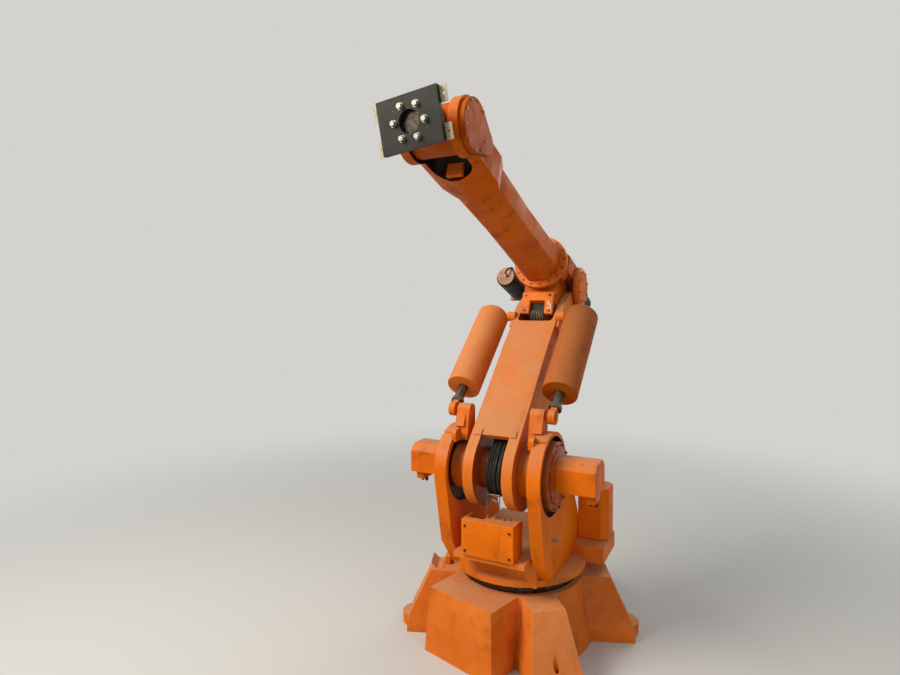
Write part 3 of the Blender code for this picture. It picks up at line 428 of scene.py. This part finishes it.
# %% Castings and covers in orange, with the width of their rounded edges in metres
EDGE_WIDTHS = (
    (ORANGE, {"connector_box": 0.006, "stop_block": 0.003, "left_cheek": 0.005, "right_cheek": 0.005}),
    (GREASE_AND_SHADE_ORANGE, {"left_gearbox": 0.004, "right_gearbox": 0.004}),
    (ORANGE, {
        "axis_1_motor": 0.006, "axis_2_motor": 0.005, "axis_3_motor": 0.005, "front_box": 0.002,
        "left_rod_bracket": 0.004, "right_rod_bracket": 0.004}),
    (GREASE_AND_SHADE_ORANGE, {"parallel_lever": 0.003}),
    (ORANGE, {
        "parallel_bar": 0.003, "elbow_gear_cover": 0.005, "axis_4_mount": 0.003, "roll_ring": 0.003,
        "wrist_inner_block": 0.002, "elbow_bracket": 0.003}),
    # Partly painted shade: the tube, fork and elbow housing get a darker, browner orange.
    (WORN_AND_SHADE_ORANGE, {"arm_tube": 0.006, "wrist_fork": 0.005, "elbow_housing": 0.005}),
    # Painted shade: the wrist's covers and the tilt housing get a darker orange.
    (COVER_SHADE_ORANGE, {"wrist_side_cover": 0.003, "wrist_round_cover": 0.002, "tilt_housing": 0.004}),
    # Painted shade: the left cylinder gets a darker copy of the dusty paint.
    (PAINTED_SHADE_ORANGE, {"left_balancer_cylinder": 0.005}),
    (DUSTY_ORANGE, {
        "base_casting": 0.008, "turntable": 0.005, "lower_arm": 0.005, "right_balancer_cylinder": 0.005,
        "base_cover_plate": 0.0008}),
)
dressed = {}
for material, widths in EDGE_WIDTHS:
    for node, width in widths.items():
        dressed[node] = soften(node, material, width)
print(len(dressed), "orange pieces")

# %% Motors, rings, the tool plate and its straps
MACHINED_EDGE = 0.0015
SHEET_EDGE = 0.0008
STRAP_EDGE = 0.0006
for node in ("axis_4_motor", "axis_5_motor", "axis_6_motor"):
    dressed[node] = soften(node, MOTOR_BLACK, 0.003)
for node in ("bearing_ring", "turning_disc"):
    dressed[node] = soften(node, DARK_STEEL, MACHINED_EDGE)
dressed["tool_plate"] = soften("tool_plate", PLATE_GREY, SHEET_EDGE, 1)
for node in ("upper_left_strap", "lower_left_strap", "upper_right_strap", "lower_right_strap"):
    dressed[node] = soften(node, CREAM, STRAP_EDGE, 1)
nodes["cable_guide"].data.materials.clear()
nodes["cable_guide"].data.materials.append(WIRE_STEEL)
print(len(dressed), "softened copies")

# %% [markdown]
# The balancer rods are bare steel, but their eyes were painted with the robot. The hollow of the wrist fork and the
# inner sides of the legs never see daylight, and the recess round each gearbox is the same: their shade is painted
# into their colour as darker paint. These are the same castings, so only some of their faces change material.

# %% Painted eyes of the rods, and painted shade in the recess round each gearbox
ROD_PAINT_END = 0.0425
RECESS_DEPTH = (0.205, 0.259)
RECESS_RADIUS = 0.187
for side in ("left", "right"):
    rod = soften(side + "_balancer_rod", ROD_STEEL, MACHINED_EDGE)
    eye = Vector(joints[side + "_rod_turn"]["pos_m"])
    rod_line = Vector(joints[side + "_balancer_slide"]["axis"])
    repaint_faces(rod, ORANGE, lambda face: (face.center - eye).dot(rod_line) < ROD_PAINT_END)
    # Painted shade: the recess round the gearbox gets the nearly black hollow paint.
    repaint_faces(dressed[side + "_cheek"], HOLLOW_SHADE_ORANGE,
                  lambda face: RECESS_DEPTH[0] < abs(face.center.y) < RECESS_DEPTH[1]
                  and (face.center - SHOULDER).xz.length < RECESS_RADIUS)

# %% Painted shade in the hollows of the fork and the lower arm
FORK_HOLLOW_BACK = -0.19
FORK_HOLLOW_HALF = 0.0925
FORK_HOLLOW_RISE = 0.10
LEG_HOLLOW_HALF = 0.101
FACE_BACK_RANGE = (0.10, 0.158)
fork_in = wrist_spot.inverted()
leg_in = lower_spot.inverted()


def looks_inward(face):
    """True for the inner side of a wall that stands beside the middle plane of the robot."""
    return abs(face.normal.y) > 0.5 and face.normal.y * face.center.y < 0


def in_fork_hollow(face):
    """True for the walls and the floor of the opening in which the tilt housing turns."""
    center = fork_in @ face.center
    inside = center.x > FORK_HOLLOW_BACK and abs(center.y) < FORK_HOLLOW_HALF and abs(center.z) < FORK_HOLLOW_RISE
    return inside and (looks_inward(face) or face.normal.dot(ARM_LINE) > 0.25)


def behind_leg_face(face):
    """True for the back of the face plate between the legs."""
    depth = (leg_in @ face.center).x
    looks_back = (leg_in.to_3x3() @ face.normal).x < -0.5
    return looks_back and abs(face.center.y) < LEG_HOLLOW_HALF and FACE_BACK_RANGE[0] < depth < FACE_BACK_RANGE[1]


# Painted shade: the fork's hollow gets the nearly black hollow paint.
repaint_faces(dressed["wrist_fork"], HOLLOW_SHADE_ORANGE, in_fork_hollow)
# Painted shade: the inner sides of the legs get the dark red brown greasy paint.
repaint_faces(dressed["lower_arm"], GREASE_AND_SHADE_ORANGE,
              lambda face: abs(face.center.y) < LEG_HOLLOW_HALF and looks_inward(face))
# Painted shade: the back of the face plate between the legs gets the nearly black hollow paint.
repaint_faces(dressed["lower_arm"], HOLLOW_SHADE_ORANGE, behind_leg_face)

# %% A dusty cap on the side motor
CAP_DEPTH = 0.004
side_motor = dressed["axis_4_motor"]
cap_level = max((face.center - ELBOW).dot(ARM_LINE) for face in side_motor.data.polygons) - CAP_DEPTH
repaint_faces(side_motor, DUSTY_CAP, lambda face: (face.center - ELBOW).dot(ARM_LINE) > cap_level)

# %% [markdown]
# ## Screws
#
# A machine is held together by screws, and they come in sets: six hexagon bolts on the tool flange, ten small socket
# screws round a cover, sixteen on the roll ring. One screw is turned as a mesh, and a Geometry Nodes tree puts it on
# every point of a small set, each turned by its own random angle, because no two screws stop at the same angle. The
# tree has inputs for the points, the screw, its size and the seed. Its result becomes one plain mesh for each set.

# %% Turn a profile into a round solid
def add_round(bm, matrix, profile, sides):
    """Turn a profile of (distance out, radius) round the X axis, and close both ends."""
    rings = []
    for level, radius in profile:
        turns = [2 * math.pi * i / sides for i in range(sides)]
        rings.append([bm.verts.new(matrix @ Vector((level, radius * math.cos(t), radius * math.sin(t))))
                      for t in turns])
    for low, high in zip(rings, rings[1:]):
        for i in range(sides):
            j = (i + 1) % sides
            bm.faces.new((low[i], low[j], high[j], high[i]))
    bm.faces.new(rings[0])
    bm.faces.new(list(reversed(rings[-1])))


# %% Two kinds of screw, one unit wide, pointing along X
HEX_HEAD = 1 / math.sqrt(3)
WASHER = [(0, 0.68), (0.10, 0.68)]
HEXAGON = [(0.11, HEX_HEAD), (0.62, HEX_HEAD), (0.70, HEX_HEAD * 0.86)]
SOCKET_HEAD = [(0, 1), (0.95, 1), (1.1, 0.88), (1.1, 0.52), (0.45, 0.50)]


def screw_template(name, parts):
    """A pattern for the screw tree, which is removed when all screws are made."""
    bm = bmesh.new()
    for profile, sides in parts:
        add_round(bm, Matrix.Identity(4), profile, sides)
    bmesh.ops.recalc_face_normals(bm, faces=bm.faces)
    mesh = bpy.data.meshes.new(name)
    bm.to_mesh(mesh)
    bm.free()
    template = bpy.data.objects.new(name, mesh)
    bpy.context.scene.collection.objects.link(template)
    print(name, len(mesh.polygons), "faces")
    return template


hex_bolt = screw_template("hex_bolt_template", [(WASHER, 24), (HEXAGON, 6)])
socket_screw = screw_template("socket_screw_template", [(SOCKET_HEAD, 14)])


# %% The tree that sets screws on points
def new_tree(name, inputs, output):
    """An empty Geometry Nodes tree with named inputs and one geometry as its result."""
    tree = bpy.data.node_groups.new(name, "GeometryNodeTree")
    for label, kind in inputs.items():
        tree.interface.new_socket(label, in_out="INPUT", socket_type="NodeSocket" + kind)
    tree.interface.new_socket(output, in_out="OUTPUT", socket_type="NodeSocketGeometry")
    return tree, add_node(tree, "NodeGroupInput").outputs


def end_tree(tree, geometry, finish, output):
    """Make any instances real, because the export drops them, paint the result and give it out."""
    real = add_node(tree, "GeometryNodeRealizeInstances", {"Geometry": geometry})
    painted = add_node(tree, "GeometryNodeSetMaterial", {"Geometry": real.outputs["Geometry"], "Material": finish})
    add_node(tree, "NodeGroupOutput", {output: painted.outputs["Geometry"]})
    print(tree.name, len(tree.nodes), "nodes")


def build_screw_tree():
    """Put one screw on every point, each turned about its own line by a random angle."""
    tree, given = new_tree("screws_on_points", {
        "Points": "Geometry", "Screw": "Object", "Size": "Float", "Seed": "Int", "Finish": "Material"}, "Screws")
    screw = add_node(tree, "GeometryNodeObjectInfo", {"Object": given["Screw"]})
    angle = add_node(tree, "FunctionNodeRandomValue", {
        "Min": (0, 0, 0), "Max": (2 * math.pi, 0, 0), "Seed": given["Seed"]}, data_type="FLOAT_VECTOR")
    placed = add_node(tree, "GeometryNodeInstanceOnPoints", {
        "Points": given["Points"], "Instance": screw.outputs["Geometry"], "Rotation": angle.outputs["Value"],
        "Scale": given["Size"]})
    end_tree(tree, placed.outputs["Instances"], given["Finish"], "Screws")
    return tree


screw_tree = build_screw_tree()


# %% Run a tree, and set screws with it
def run_tree(name, tree, start, values):
    """Run a tree on a mesh or curve and return the plain mesh, with the modifier and its object gone."""
    holder = bpy.data.objects.new(name, start)
    bpy.context.scene.collection.objects.link(holder)
    modifier = holder.modifiers.new("make", "NODES")
    modifier.node_group = tree
    for item in tree.interface.items_tree:
        if item.in_out == "INPUT" and item.name in values:
            modifier[item.identifier] = values[item.name]
    made = plain_mesh(holder)
    bpy.data.objects.remove(holder)
    made.name = name
    return made


def set_screws(name, place, points, size, body, finish, screw=socket_screw, seed=1):
    """One set of screws: points lie across the X axis of a placing matrix, which the screws point along."""
    cloud = bpy.data.meshes.new(name + "_points")
    cloud.from_pydata([(0, y, z) for y, z in points], [], [])
    values = {"Screw": screw, "Size": size, "Seed": seed, "Finish": finish}
    made = run_tree(name, screw_tree, cloud, values)
    made.transform(place)
    print(name, len(points), "screws")
    return mesh_piece(name, made, finish, body, 30)


def circle_points(radius, count, start=0.0, skip=()):
    """Points evenly round a circle, from a start angle, without the ones to skip."""
    turns = [start + 2 * math.pi * i / count for i in range(count) if i not in skip]
    return [(radius * math.cos(turn), radius * math.sin(turn)) for turn in turns]


# %% Bolts on the tool flange, and screws round the wrist's covers
PLATE_FRONT = 0.2203
FLANGE_BOLT_CIRCLE = 0.0625
HIDDEN_SCREW = 5
set_screws("tool_plate_bolts", tool_spot @ Matrix.Translation((PLATE_FRONT, 0, 0)),
           circle_points(FLANGE_BOLT_CIRCLE, 6), 0.019, "tool", ZINC, hex_bolt)
cover_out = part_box("wrist_side_cover")[1].y
set_screws("wrist_cover_screws", outward(WRIST + SIDE * cover_out, 1),
           circle_points(0.090, 10, start=0.2, skip=(HIDDEN_SCREW,)), 0.0042, "arm_tube", ZINC)
round_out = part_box("wrist_round_cover")[0].y
set_screws("round_cover_screws", outward(WRIST + SIDE * round_out, -1), circle_points(0.080, 8), 0.0045,
           "arm_tube", ZINC)

# %% Screws round the gearboxes, the roll ring and the gear cover
ROLL_RING_FACE = 0.27
GEAR_COVER_SEAT = (-0.03, 0, 0.18)
for side, node in ((1, "left_gearbox"), (-1, "right_gearbox")):
    low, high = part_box(node)
    face = SHOULDER + SIDE * (high.y if side > 0 else low.y)
    set_screws(node + "_bolts", outward(face, side), circle_points(0.148, 12, start=0.1), 0.007, "stand",
               GREASE_AND_SHADE_ORANGE)
set_screws("roll_ring_bolts", roll_spot @ Matrix.Translation((ROLL_RING_FACE, 0, 0)),
           circle_points(0.138, 16, start=0.1), 0.0055, "arm_tube", GREASE_AND_SHADE_ORANGE)
gear_seat = elbow_spot @ Vector(GEAR_COVER_SEAT)
gear_seat.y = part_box("elbow_gear_cover")[1].y
set_screws("gear_cover_screws", outward(gear_seat, 1), circle_points(0.088, 8, start=0.3), 0.005, "upper_arm",
           GREASE_AND_SHADE_ORANGE)

# %% Screws in the bracket, the front box and the feet
BRACKET_FACE = 0.24
BRACKET_HOLES = [(-0.068, -0.052), (0.070, -0.056), (-0.070, 0.035), (0.070, 0.035)]
BOX_HOLES = [(-0.112, -0.030), (0.112, -0.030), (-0.112, -0.148), (0.112, -0.148)]
FOOT_REACH = 0.55
FOOT_TOP = 0.06
BASE_TURN_DEG = -15
set_screws("bracket_screws", elbow_spot @ Matrix.Translation((BRACKET_FACE, 0, 0)), BRACKET_HOLES, 0.006,
           "upper_arm", DARK_STEEL)
box_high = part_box("front_box")[1]
set_screws("front_box_screws", spot((box_high.x, 0, box_high.z), (1, 0, 0), SIDE), BOX_HOLES, 0.0055, "stand",
           DARK_STEEL)
foot_turns = [math.radians(angle + BASE_TURN_DEG) for angle in (-53, 53, 127, 233)]
foot_points = [(FOOT_REACH * math.sin(turn), -FOOT_REACH * math.cos(turn)) for turn in foot_turns]
set_screws("foot_bolts", spot((0, 0, FOOT_TOP), UP, SIDE), foot_points, 0.036, "base", DARK_STEEL, hex_bolt)

# %% [markdown]
# ## Conduits and cables
#
# Grey corrugated nylon conduits come down through the slot of the elbow bracket, and black cables fill the channel
# between the two legs of the lower arm. All of them are clamped inside one link, so they move with it and are not free
# cords. A second tree draws them: it resamples a line at half the pitch of the ribs, makes every second point a little
# thicker, and sweeps a circle along it. A smooth cable is the same tree with no rib depth.

# %% The tree that sweeps a ribbed tube
TUBE_SIDES = 10


def build_tube_tree():
    """Sweep a circle along a line, with every second ring a little wider where a rib depth is given."""
    tree, given = new_tree("ribbed_tube", {
        "Line": "Geometry", "Radius": "Float", "Rib depth": "Float", "Rib pitch": "Float", "Finish": "Material"},
        "Tube")
    half = add_node(tree, "ShaderNodeMath", {0: given["Rib pitch"], 1: 0.5}, operation="MULTIPLY")
    fine = add_node(tree, "GeometryNodeResampleCurve", {
        "Curve": given["Line"], "Length": half.outputs["Value"]}, mode="LENGTH")
    index = add_node(tree, "GeometryNodeInputIndex").outputs["Index"]
    odd = add_node(tree, "ShaderNodeMath", {0: index, 1: 2.0}, operation="MODULO").outputs["Value"]
    swell = add_node(tree, "ShaderNodeMath", {0: odd, 1: given["Rib depth"], 2: given["Radius"]},
                     operation="MULTIPLY_ADD").outputs["Value"]
    sized = add_node(tree, "GeometryNodeSetCurveRadius", {"Curve": fine.outputs["Curve"], "Radius": swell})
    circle = add_node(tree, "GeometryNodeCurvePrimitiveCircle", {"Resolution": TUBE_SIDES, "Radius": 1.0})
    tube = add_node(tree, "GeometryNodeCurveToMesh", {
        "Curve": sized.outputs["Curve"], "Profile Curve": circle.outputs["Curve"], "Scale": swell,
        "Fill Caps": True})
    end_tree(tree, tube.outputs["Mesh"], given["Finish"], "Tube")
    return tree


tube_tree = build_tube_tree()


# %% Tubes along smooth lines
def run_tubes(name, lines, radius, body, finish, rib_depth=0.0, rib_pitch=0.006):
    """Tubes along smooth lines, all one piece. Each line is a list of points that it passes near."""
    curve = bpy.data.curves.new(name + "_lines", "CURVE")
    curve.dimensions = "3D"
    for line in lines:
        spline = curve.splines.new("NURBS")
        spline.points.add(len(line) - 1)
        for point, place in zip(spline.points, line):
            point.co = (*place, 1)
        spline.order_u = 3
        spline.use_endpoint_u = True
        spline.resolution_u = 12
    values = {"Radius": radius, "Rib depth": rib_depth, "Rib pitch": rib_pitch, "Finish": finish}
    made = run_tree(name, tube_tree, curve, values)
    print(name, len(lines), "tubes,", len(made.polygons), "faces")
    return mesh_piece(name, made, finish, body, 60)


def placed_line(matrix, points):
    """The points of a line, turned from one link's own coordinates into world coordinates."""
    return [matrix @ Vector(point) for point in points]


# %% A dark liner and five conduits in the bracket's slot
LINER_DEPTH = (0.2040, 0.2095)
LINER_HALF = 0.052
LINER_RISE = (-0.068, 0.006)
CONDUITS = 5
CONDUIT_STEP = 0.015
BOX_FACES = ((0, 1, 3, 2), (4, 5, 7, 6), (0, 1, 5, 4), (2, 3, 7, 6), (0, 2, 6, 4), (1, 3, 7, 5))


def add_box(bm, matrix, x_range, y_range, z_range):
    """A box between two levels on each axis of a placing matrix."""
    corners = [bm.verts.new(matrix @ Vector((x, y, z))) for x in x_range for y in y_range for z in z_range]
    for face in BOX_FACES:
        bm.faces.new([corners[i] for i in face])


bm = bmesh.new()
add_box(bm, elbow_spot, LINER_DEPTH, (-LINER_HALF, LINER_HALF), LINER_RISE)
new_piece("slot_liner", bm, BLACK_RUBBER, "upper_arm")
slot_lines = []
for i in range(CONDUITS):
    y = (i - (CONDUITS - 1) / 2) * CONDUIT_STEP
    slot_lines.append(placed_line(elbow_spot, (
        (0.206, y * 0.8, -0.046), (0.219, y * 0.9, -0.052), (0.224, y, -0.066), (0.212, y * 1.1, -0.086),
        (0.186 + 0.004 * (i % 2), y * 1.1, -0.098))))
run_tubes("elbow_conduits", slot_lines, 0.0055, "upper_arm", GREY_NYLON, 0.0012, 0.005)

# %% [markdown]
# The cables between the legs lie in two layers, side by side, half round the shoulder and then up behind the face
# plate. Real cables never lie quite parallel, so each line is moved by a small random amount from a fixed seed.

# %% Cables between the legs
CABLE_PAIRS = 8
CABLE_STEP = 0.0125
FIRST_CABLE = -0.026
LAYER_DEPTHS = (0.002, 0.020)
cable_sway = random.Random(11)
leg_lines = []
for i in range(CABLE_PAIRS):
    y = FIRST_CABLE + i * CABLE_STEP
    for layer_depth in LAYER_DEPTHS:
        inset = layer_depth + cable_sway.uniform(-0.002, 0.006)
        y = y + cable_sway.uniform(-0.002, 0.002)
        leg_lines.append(placed_line(lower_spot, (
            (-0.110 + inset, y, -0.050), (-0.060, y, -0.120 + inset), (0.020, y, -0.135 + inset),
            (0.095 - inset, y, -0.085), (0.118 - inset, y, 0.020), (0.122 - inset, y * 0.95, 0.25),
            (0.130 - inset, y * 0.9, 0.45), (0.125 - inset, y * 0.9, 0.70))))
# Partly painted shade: besides standing for the real cables, the black cables fill the gap between the legs, which lies
# dark in shade.
run_tubes("leg_cables", leg_lines, 0.0065, "lower_arm", BLACK_RUBBER, rib_pitch=0.04)

# %% [markdown]
# ## Connectors
#
# The motors and the rear box have round screwed connectors. A connector is a turned shape like a screw: a flange, a
# ribbed nut that fingers can grip, and a shell that narrows to the cable. One profile in shares of its radius gives
# all sizes, from 20 to 48 mm across.

# %% Round connectors on the motors and the rear box
PLUG_RIBS = 4
SIDE_MOTOR_PLUG_Y = (0.432, 0.455)
REAR_MOTOR_PLUG = (-0.40, 0.068, 0.277)
REAR_BOX_PLUG_Y = (-0.075, 0, 0.075)
REAR_BOX_FACE = -0.5753
REAR_BOX_RISE = 0.17
base_turn = Matrix.Rotation(math.radians(BASE_TURN_DEG), 4, "Z")


def add_plug(bm, matrix, radius):
    """A round connector: flange, ribbed nut and back shell."""
    profile = [(0, radius), (radius * 0.3, radius), (radius * 0.3, radius * 0.8)]
    for i in range(PLUG_RIBS):
        level = radius * (0.5 + 0.25 * i)
        profile += [(level, radius * 0.8), (level + radius * 0.05, radius * 0.88),
                    (level + radius * 0.18, radius * 0.88)]
    profile += [(radius * 1.6, radius * 0.7), (radius * 2.1, radius * 0.6)]
    add_round(bm, matrix, profile, 20)


def plug_piece(name, places, radius, body, finish=BLACK_RUBBER):
    """All the connectors of one unit, as one piece."""
    bm = bmesh.new()
    for place in places:
        add_plug(bm, place, radius)
    print(name, len(places))
    return new_piece(name, bm, finish, body, 40)


for side, node in ((1, "axis_2_motor"), (-1, "axis_3_motor")):
    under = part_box(node)[0].z
    plug_piece(node + "_plugs", [spot((SHOULDER.x - 0.02, side * y, under), -UP, SIDE) for y in SIDE_MOTOR_PLUG_Y],
               0.010, "stand")
back, out, rise = REAR_MOTOR_PLUG
plug_piece("rear_motor_plugs",
           [spot(elbow_spot @ Vector((back, y, rise)), elbow_spot.to_3x3() @ UP, SIDE) for y in (out, -out)],
           0.016, "upper_arm")
plug_piece("rear_box_plugs",
           [spot(base_turn @ Vector((REAR_BOX_FACE, y, REAR_BOX_RISE)), base_turn @ Vector((-1, 0, 0)), UP)
            for y in REAR_BOX_PLUG_Y], 0.024, "base")

# %% A plug on the side motor's cap, and its cable
PLUG_SEAT = (0, 0.006, 0.004)
cap_middle = Vector((0, 0, 0))
cap_faces = [face for face in side_motor.data.polygons if face.material_index == 1]
cap_area = sum(face.area for face in cap_faces)
for face in cap_faces:
    cap_middle += face.center * face.area / cap_area
cap_spot = spot(cap_middle, ARM_LINE, SIDE)
plug_piece("side_motor_plug", [cap_spot @ Matrix.Translation(PLUG_SEAT)], 0.011, "upper_arm", ZINC)
cap_line = placed_line(cap_spot, (
    (0.022, 0.006, 0.004), (0.034, 0.008, 0.016), (0.024, 0.020, 0.040), (0.004, 0.030, 0.056),
    (-0.030, 0.030, 0.064), (-0.070, 0.018, 0.066)))
run_tubes("side_motor_cable", [cap_line], 0.005, "upper_arm", BLACK_RUBBER, rib_pitch=0.01)

# %% [markdown]
# ## Small fittings
#
# What is left is small, and the eye misses it only when it isn't there: a white clip on the bracket's leg, hose
# fittings on the cheeks, a boss and a flange beside each gearbox, a cap on each balancer, and a curl in the bent wire
# that guides the cables over the front box. They are turned profiles and thin boxes, set by the same placing matrices.

# %% A white clip on the bracket's leg
CLIP_DEPTH = (0.2402, 0.2432)
CLIP_BARS = (((0.060, 0.084), (-0.045, -0.038)), ((0.077, 0.084), (-0.038, -0.016)),
             ((0.064, 0.077), (-0.022, -0.016)), ((0.064, 0.070), (-0.016, 0.002)))
bm = bmesh.new()
for y_range, z_range in CLIP_BARS:
    add_box(bm, elbow_spot, CLIP_DEPTH, y_range, z_range)
new_piece("bracket_clip", bm, WHITE_NYLON, "upper_arm", 30)
print("clip of", len(CLIP_BARS), "bars")

# %% Hose fittings and bosses on both cheeks
CHEEK_FACE = 0.262
GEARBOX_FACE = 0.282
HOSE_FITTINGS = ((0.246, 0.603), (0.205, 0.585))
FITTING_HEXAGON = [(0, 0.012), (0.002, 0.012), (0.003, 0.010), (0.012, 0.010), (0.013, 0.008)]
FITTING_NECK = [(0.0135, 0.006), (0.0235, 0.006), (0.0255, 0.005)]
BOSS = [(0, 0.016), (0.008, 0.016), (0.012, 0.011), (0.020, 0.010)]
BOSS_PLACE = (0.299, 0.808)
bm = bmesh.new()
for side in (1, -1):
    for x, z in HOSE_FITTINGS:
        place = outward(Vector((x, side * CHEEK_FACE, z)), side)
        add_round(bm, place, FITTING_HEXAGON, 6)
        add_round(bm, place, FITTING_NECK, 14)
new_piece("cheek_fittings", bm, ZINC, "stand", 30)
bm = bmesh.new()
for side in (1, -1):
    add_round(bm, outward(Vector((BOSS_PLACE[0], side * GEARBOX_FACE, BOSS_PLACE[1])), side), BOSS, 18)
new_piece("gearbox_bosses", bm, ORANGE, "stand", 40)
print(2 * len(HOSE_FITTINGS), "hose fittings and 2 bosses")

# %% A flange for each motor and a cap for each balancer
FLANGE = [(0, 0.128), (0.006, 0.128), (0.009, 0.122)]
CAP = [(0, 0.020), (0.006, 0.020), (0.006, 0.013), (0.014, 0.012)]
CAP_DISTANCE = 0.7002
for side, name in ((1, "left"), (-1, "right")):
    bm = bmesh.new()
    add_round(bm, outward(SHOULDER + SIDE * (side * GEARBOX_FACE), side), FLANGE, 48)
    new_piece(name + "_motor_flange", bm, GREASE_AND_SHADE_ORANGE, "stand", 40)
    line = Vector(joints[name + "_balancer_slide"]["axis"])
    seat = Vector(joints[name + "_rod_turn"]["pos_m"]) + line * CAP_DISTANCE
    bm = bmesh.new()
    add_round(bm, spot(seat, line, SIDE), CAP, 20)
    new_piece(name + "_balancer_cap", bm, DARK_STEEL, name + "_cylinder", 40)
    print(name, "flange and cap")

# %% The curl of the bent-wire guide, and nuts beside its feet
WIRE_RADIUS = 0.003
CURL = ((0, 0, 0.004), (-0.014, 0, 0.008), (-0.022, -0.024, 0.012), (-0.020, -0.048, 0.018),
        (-0.004, -0.044, 0.024), (0.001, -0.010, 0.030), (0, 0, 0.034))
NUT_PLACES = ((0.352, -0.022), (0.346, 0.018), (0.350, 0.055), (0.340, 0.080))
NUT_AND_STUD = [(0, 0.011), (0.004, 0.011), (0.004, 0.007), (0.016, 0.006)]
guide_low, guide_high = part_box("cable_guide")
guide_x = (guide_low.x + guide_high.x) / 2
guide_y = guide_high.y - WIRE_RADIUS
guide_top = guide_high.z - WIRE_RADIUS
curl = [(guide_x + ahead, guide_y + left, guide_top - down) for ahead, left, down in CURL]
run_tubes("guide_curl", [curl], 0.0028, "stand", WIRE_STEEL)
bm = bmesh.new()
for x, y in NUT_PLACES:
    add_round(bm, spot((x, y, box_high.z), UP, SIDE), NUT_AND_STUD, 6)
new_piece("guide_nuts", bm, WIRE_STEEL, "stand", 30)

# %% Remove the screws that were only patterns
for template in (hex_bolt, socket_screw):
    bpy.data.objects.remove(template)

# %% [markdown]
# ## Stage and light
#
# The floor is pale and runs on to the horizon, where it takes the tone of the room, so no edge shows behind the
# robot. Only what the camera and mirrors see is set that way, through the Light Path node, and the robot is lit by the
# lamps and by a dimmer room. One large soft light stands over the camera's left shoulder, where the photograph's light
# comes from, and two weak ones keep the far sides readable.

# %% A pale floor
FLOOR_SIZE = 60
ROOM_TONE = "#D3D2CE"
FLOOR_TONE = "#C4C9CE"
FADE_START = 1.2
FADE_END = 5.5


def seen_directly(tree):
    """1 for rays from the camera, mirrors and glass, 0 for the light that falls on the object."""
    rays = add_node(tree, "ShaderNodeLightPath").outputs
    shiny = add_node(tree, "ShaderNodeMath", {0: rays["Is Glossy Ray"], 1: rays["Is Transmission Ray"]},
                     operation="MAXIMUM").outputs["Value"]
    return add_node(tree, "ShaderNodeMath", {0: rays["Is Camera Ray"], 1: shiny},
                    operation="MAXIMUM").outputs["Value"]


def add_floor():
    """Matt floor paint near the robot, which fades into the tone of the room with the distance."""
    bm = bmesh.new()
    bmesh.ops.create_grid(bm, x_segments=1, y_segments=1, size=FLOOR_SIZE / 2)
    mesh = bpy.data.meshes.new("studio_floor")
    bm.to_mesh(mesh)
    bm.free()
    material = bpy.data.materials.new("pale_studio_floor")
    material.use_nodes = True
    tree = material.node_tree
    shader = tree.nodes["Principled BSDF"]
    shader.inputs["Base Color"].default_value = srgb(FLOOR_TONE)
    shader.inputs["Roughness"].default_value = 0.9
    shader.inputs["Specular IOR Level"].default_value = 0.1
    place = add_node(tree, "ShaderNodeTexCoord").outputs["Object"]
    reach = add_node(tree, "ShaderNodeVectorMath", {0: place}, operation="LENGTH").outputs["Value"]
    far = add_node(tree, "ShaderNodeMapRange", {"Value": reach, "From Min": FADE_START, "From Max": FADE_END},
                   interpolation_type="SMOOTHSTEP").outputs["Result"]
    share = add_node(tree, "ShaderNodeMath", {0: far, 1: seen_directly(tree)},
                     operation="MULTIPLY").outputs["Value"]
    glow = add_node(tree, "ShaderNodeEmission", {"Color": srgb(ROOM_TONE), "Strength": 1.0}).outputs["Emission"]
    mixed = add_node(tree, "ShaderNodeMixShader", {0: share, 1: shader.outputs["BSDF"], 2: glow})
    tree.links.new(mixed.outputs["Shader"], tree.nodes["Material Output"].inputs["Surface"])
    mesh.materials.append(material)
    floor = bpy.data.objects.new("studio_floor", mesh)
    bpy.context.scene.collection.objects.link(floor)
    print("floor of", FLOOR_SIZE, "m")


add_floor()

# %% The room and the lamps
ROOM_LIGHT = 0.42
ROOM_LIGHT_TONE = "#F2EDE4"
ROBOT_MIDDLE = Vector((0, 0, 1.2))
LAMPS = (
    ("key_lamp", (3.2, -2.4, 4.0), 2.2, 260, "#FFF1DC"),
    ("fill_lamp", (2.6, 3.4, 2.6), 2.5, 22, "#FFF6EA"),
    ("rim_lamp", (-3.0, 1.0, 3.4), 2.0, 40, "#FFF6EA"),
)


def add_room():
    """A dim warm room for the light on the robot, and its pale tone for what is seen directly."""
    world = bpy.data.worlds.new("studio")
    world.use_nodes = True
    tree = world.node_tree
    lit = tree.nodes["Background"]
    lit.inputs["Color"].default_value = srgb(ROOM_LIGHT_TONE)
    lit.inputs["Strength"].default_value = ROOM_LIGHT
    seen = add_node(tree, "ShaderNodeBackground", {"Color": srgb(ROOM_TONE), "Strength": 1.0})
    mixed = add_node(tree, "ShaderNodeMixShader", {
        0: seen_directly(tree), 1: lit.outputs["Background"], 2: seen.outputs["Background"]})
    tree.links.new(mixed.outputs["Shader"], tree.nodes["World Output"].inputs["Surface"])
    bpy.context.scene.world = world
    bpy.context.scene.view_settings.view_transform = "Standard"


def add_lamp(name, place, size, power, colour):
    """A square soft light of a size in metres and a power in watts, aimed at the middle of the robot."""
    data = bpy.data.lights.new(name, "AREA")
    data.size = size
    data.energy = power
    data.color = srgb(colour)[:3]
    lamp = bpy.data.objects.new(name, data)
    lamp.location = place
    lamp.rotation_euler = (ROBOT_MIDDLE - Vector(place)).to_track_quat("-Z", "Y").to_euler()
    bpy.context.scene.collection.objects.link(lamp)
    print(name, power, "W")


add_room()
for lamp_settings in LAMPS:
    add_lamp(*lamp_settings)
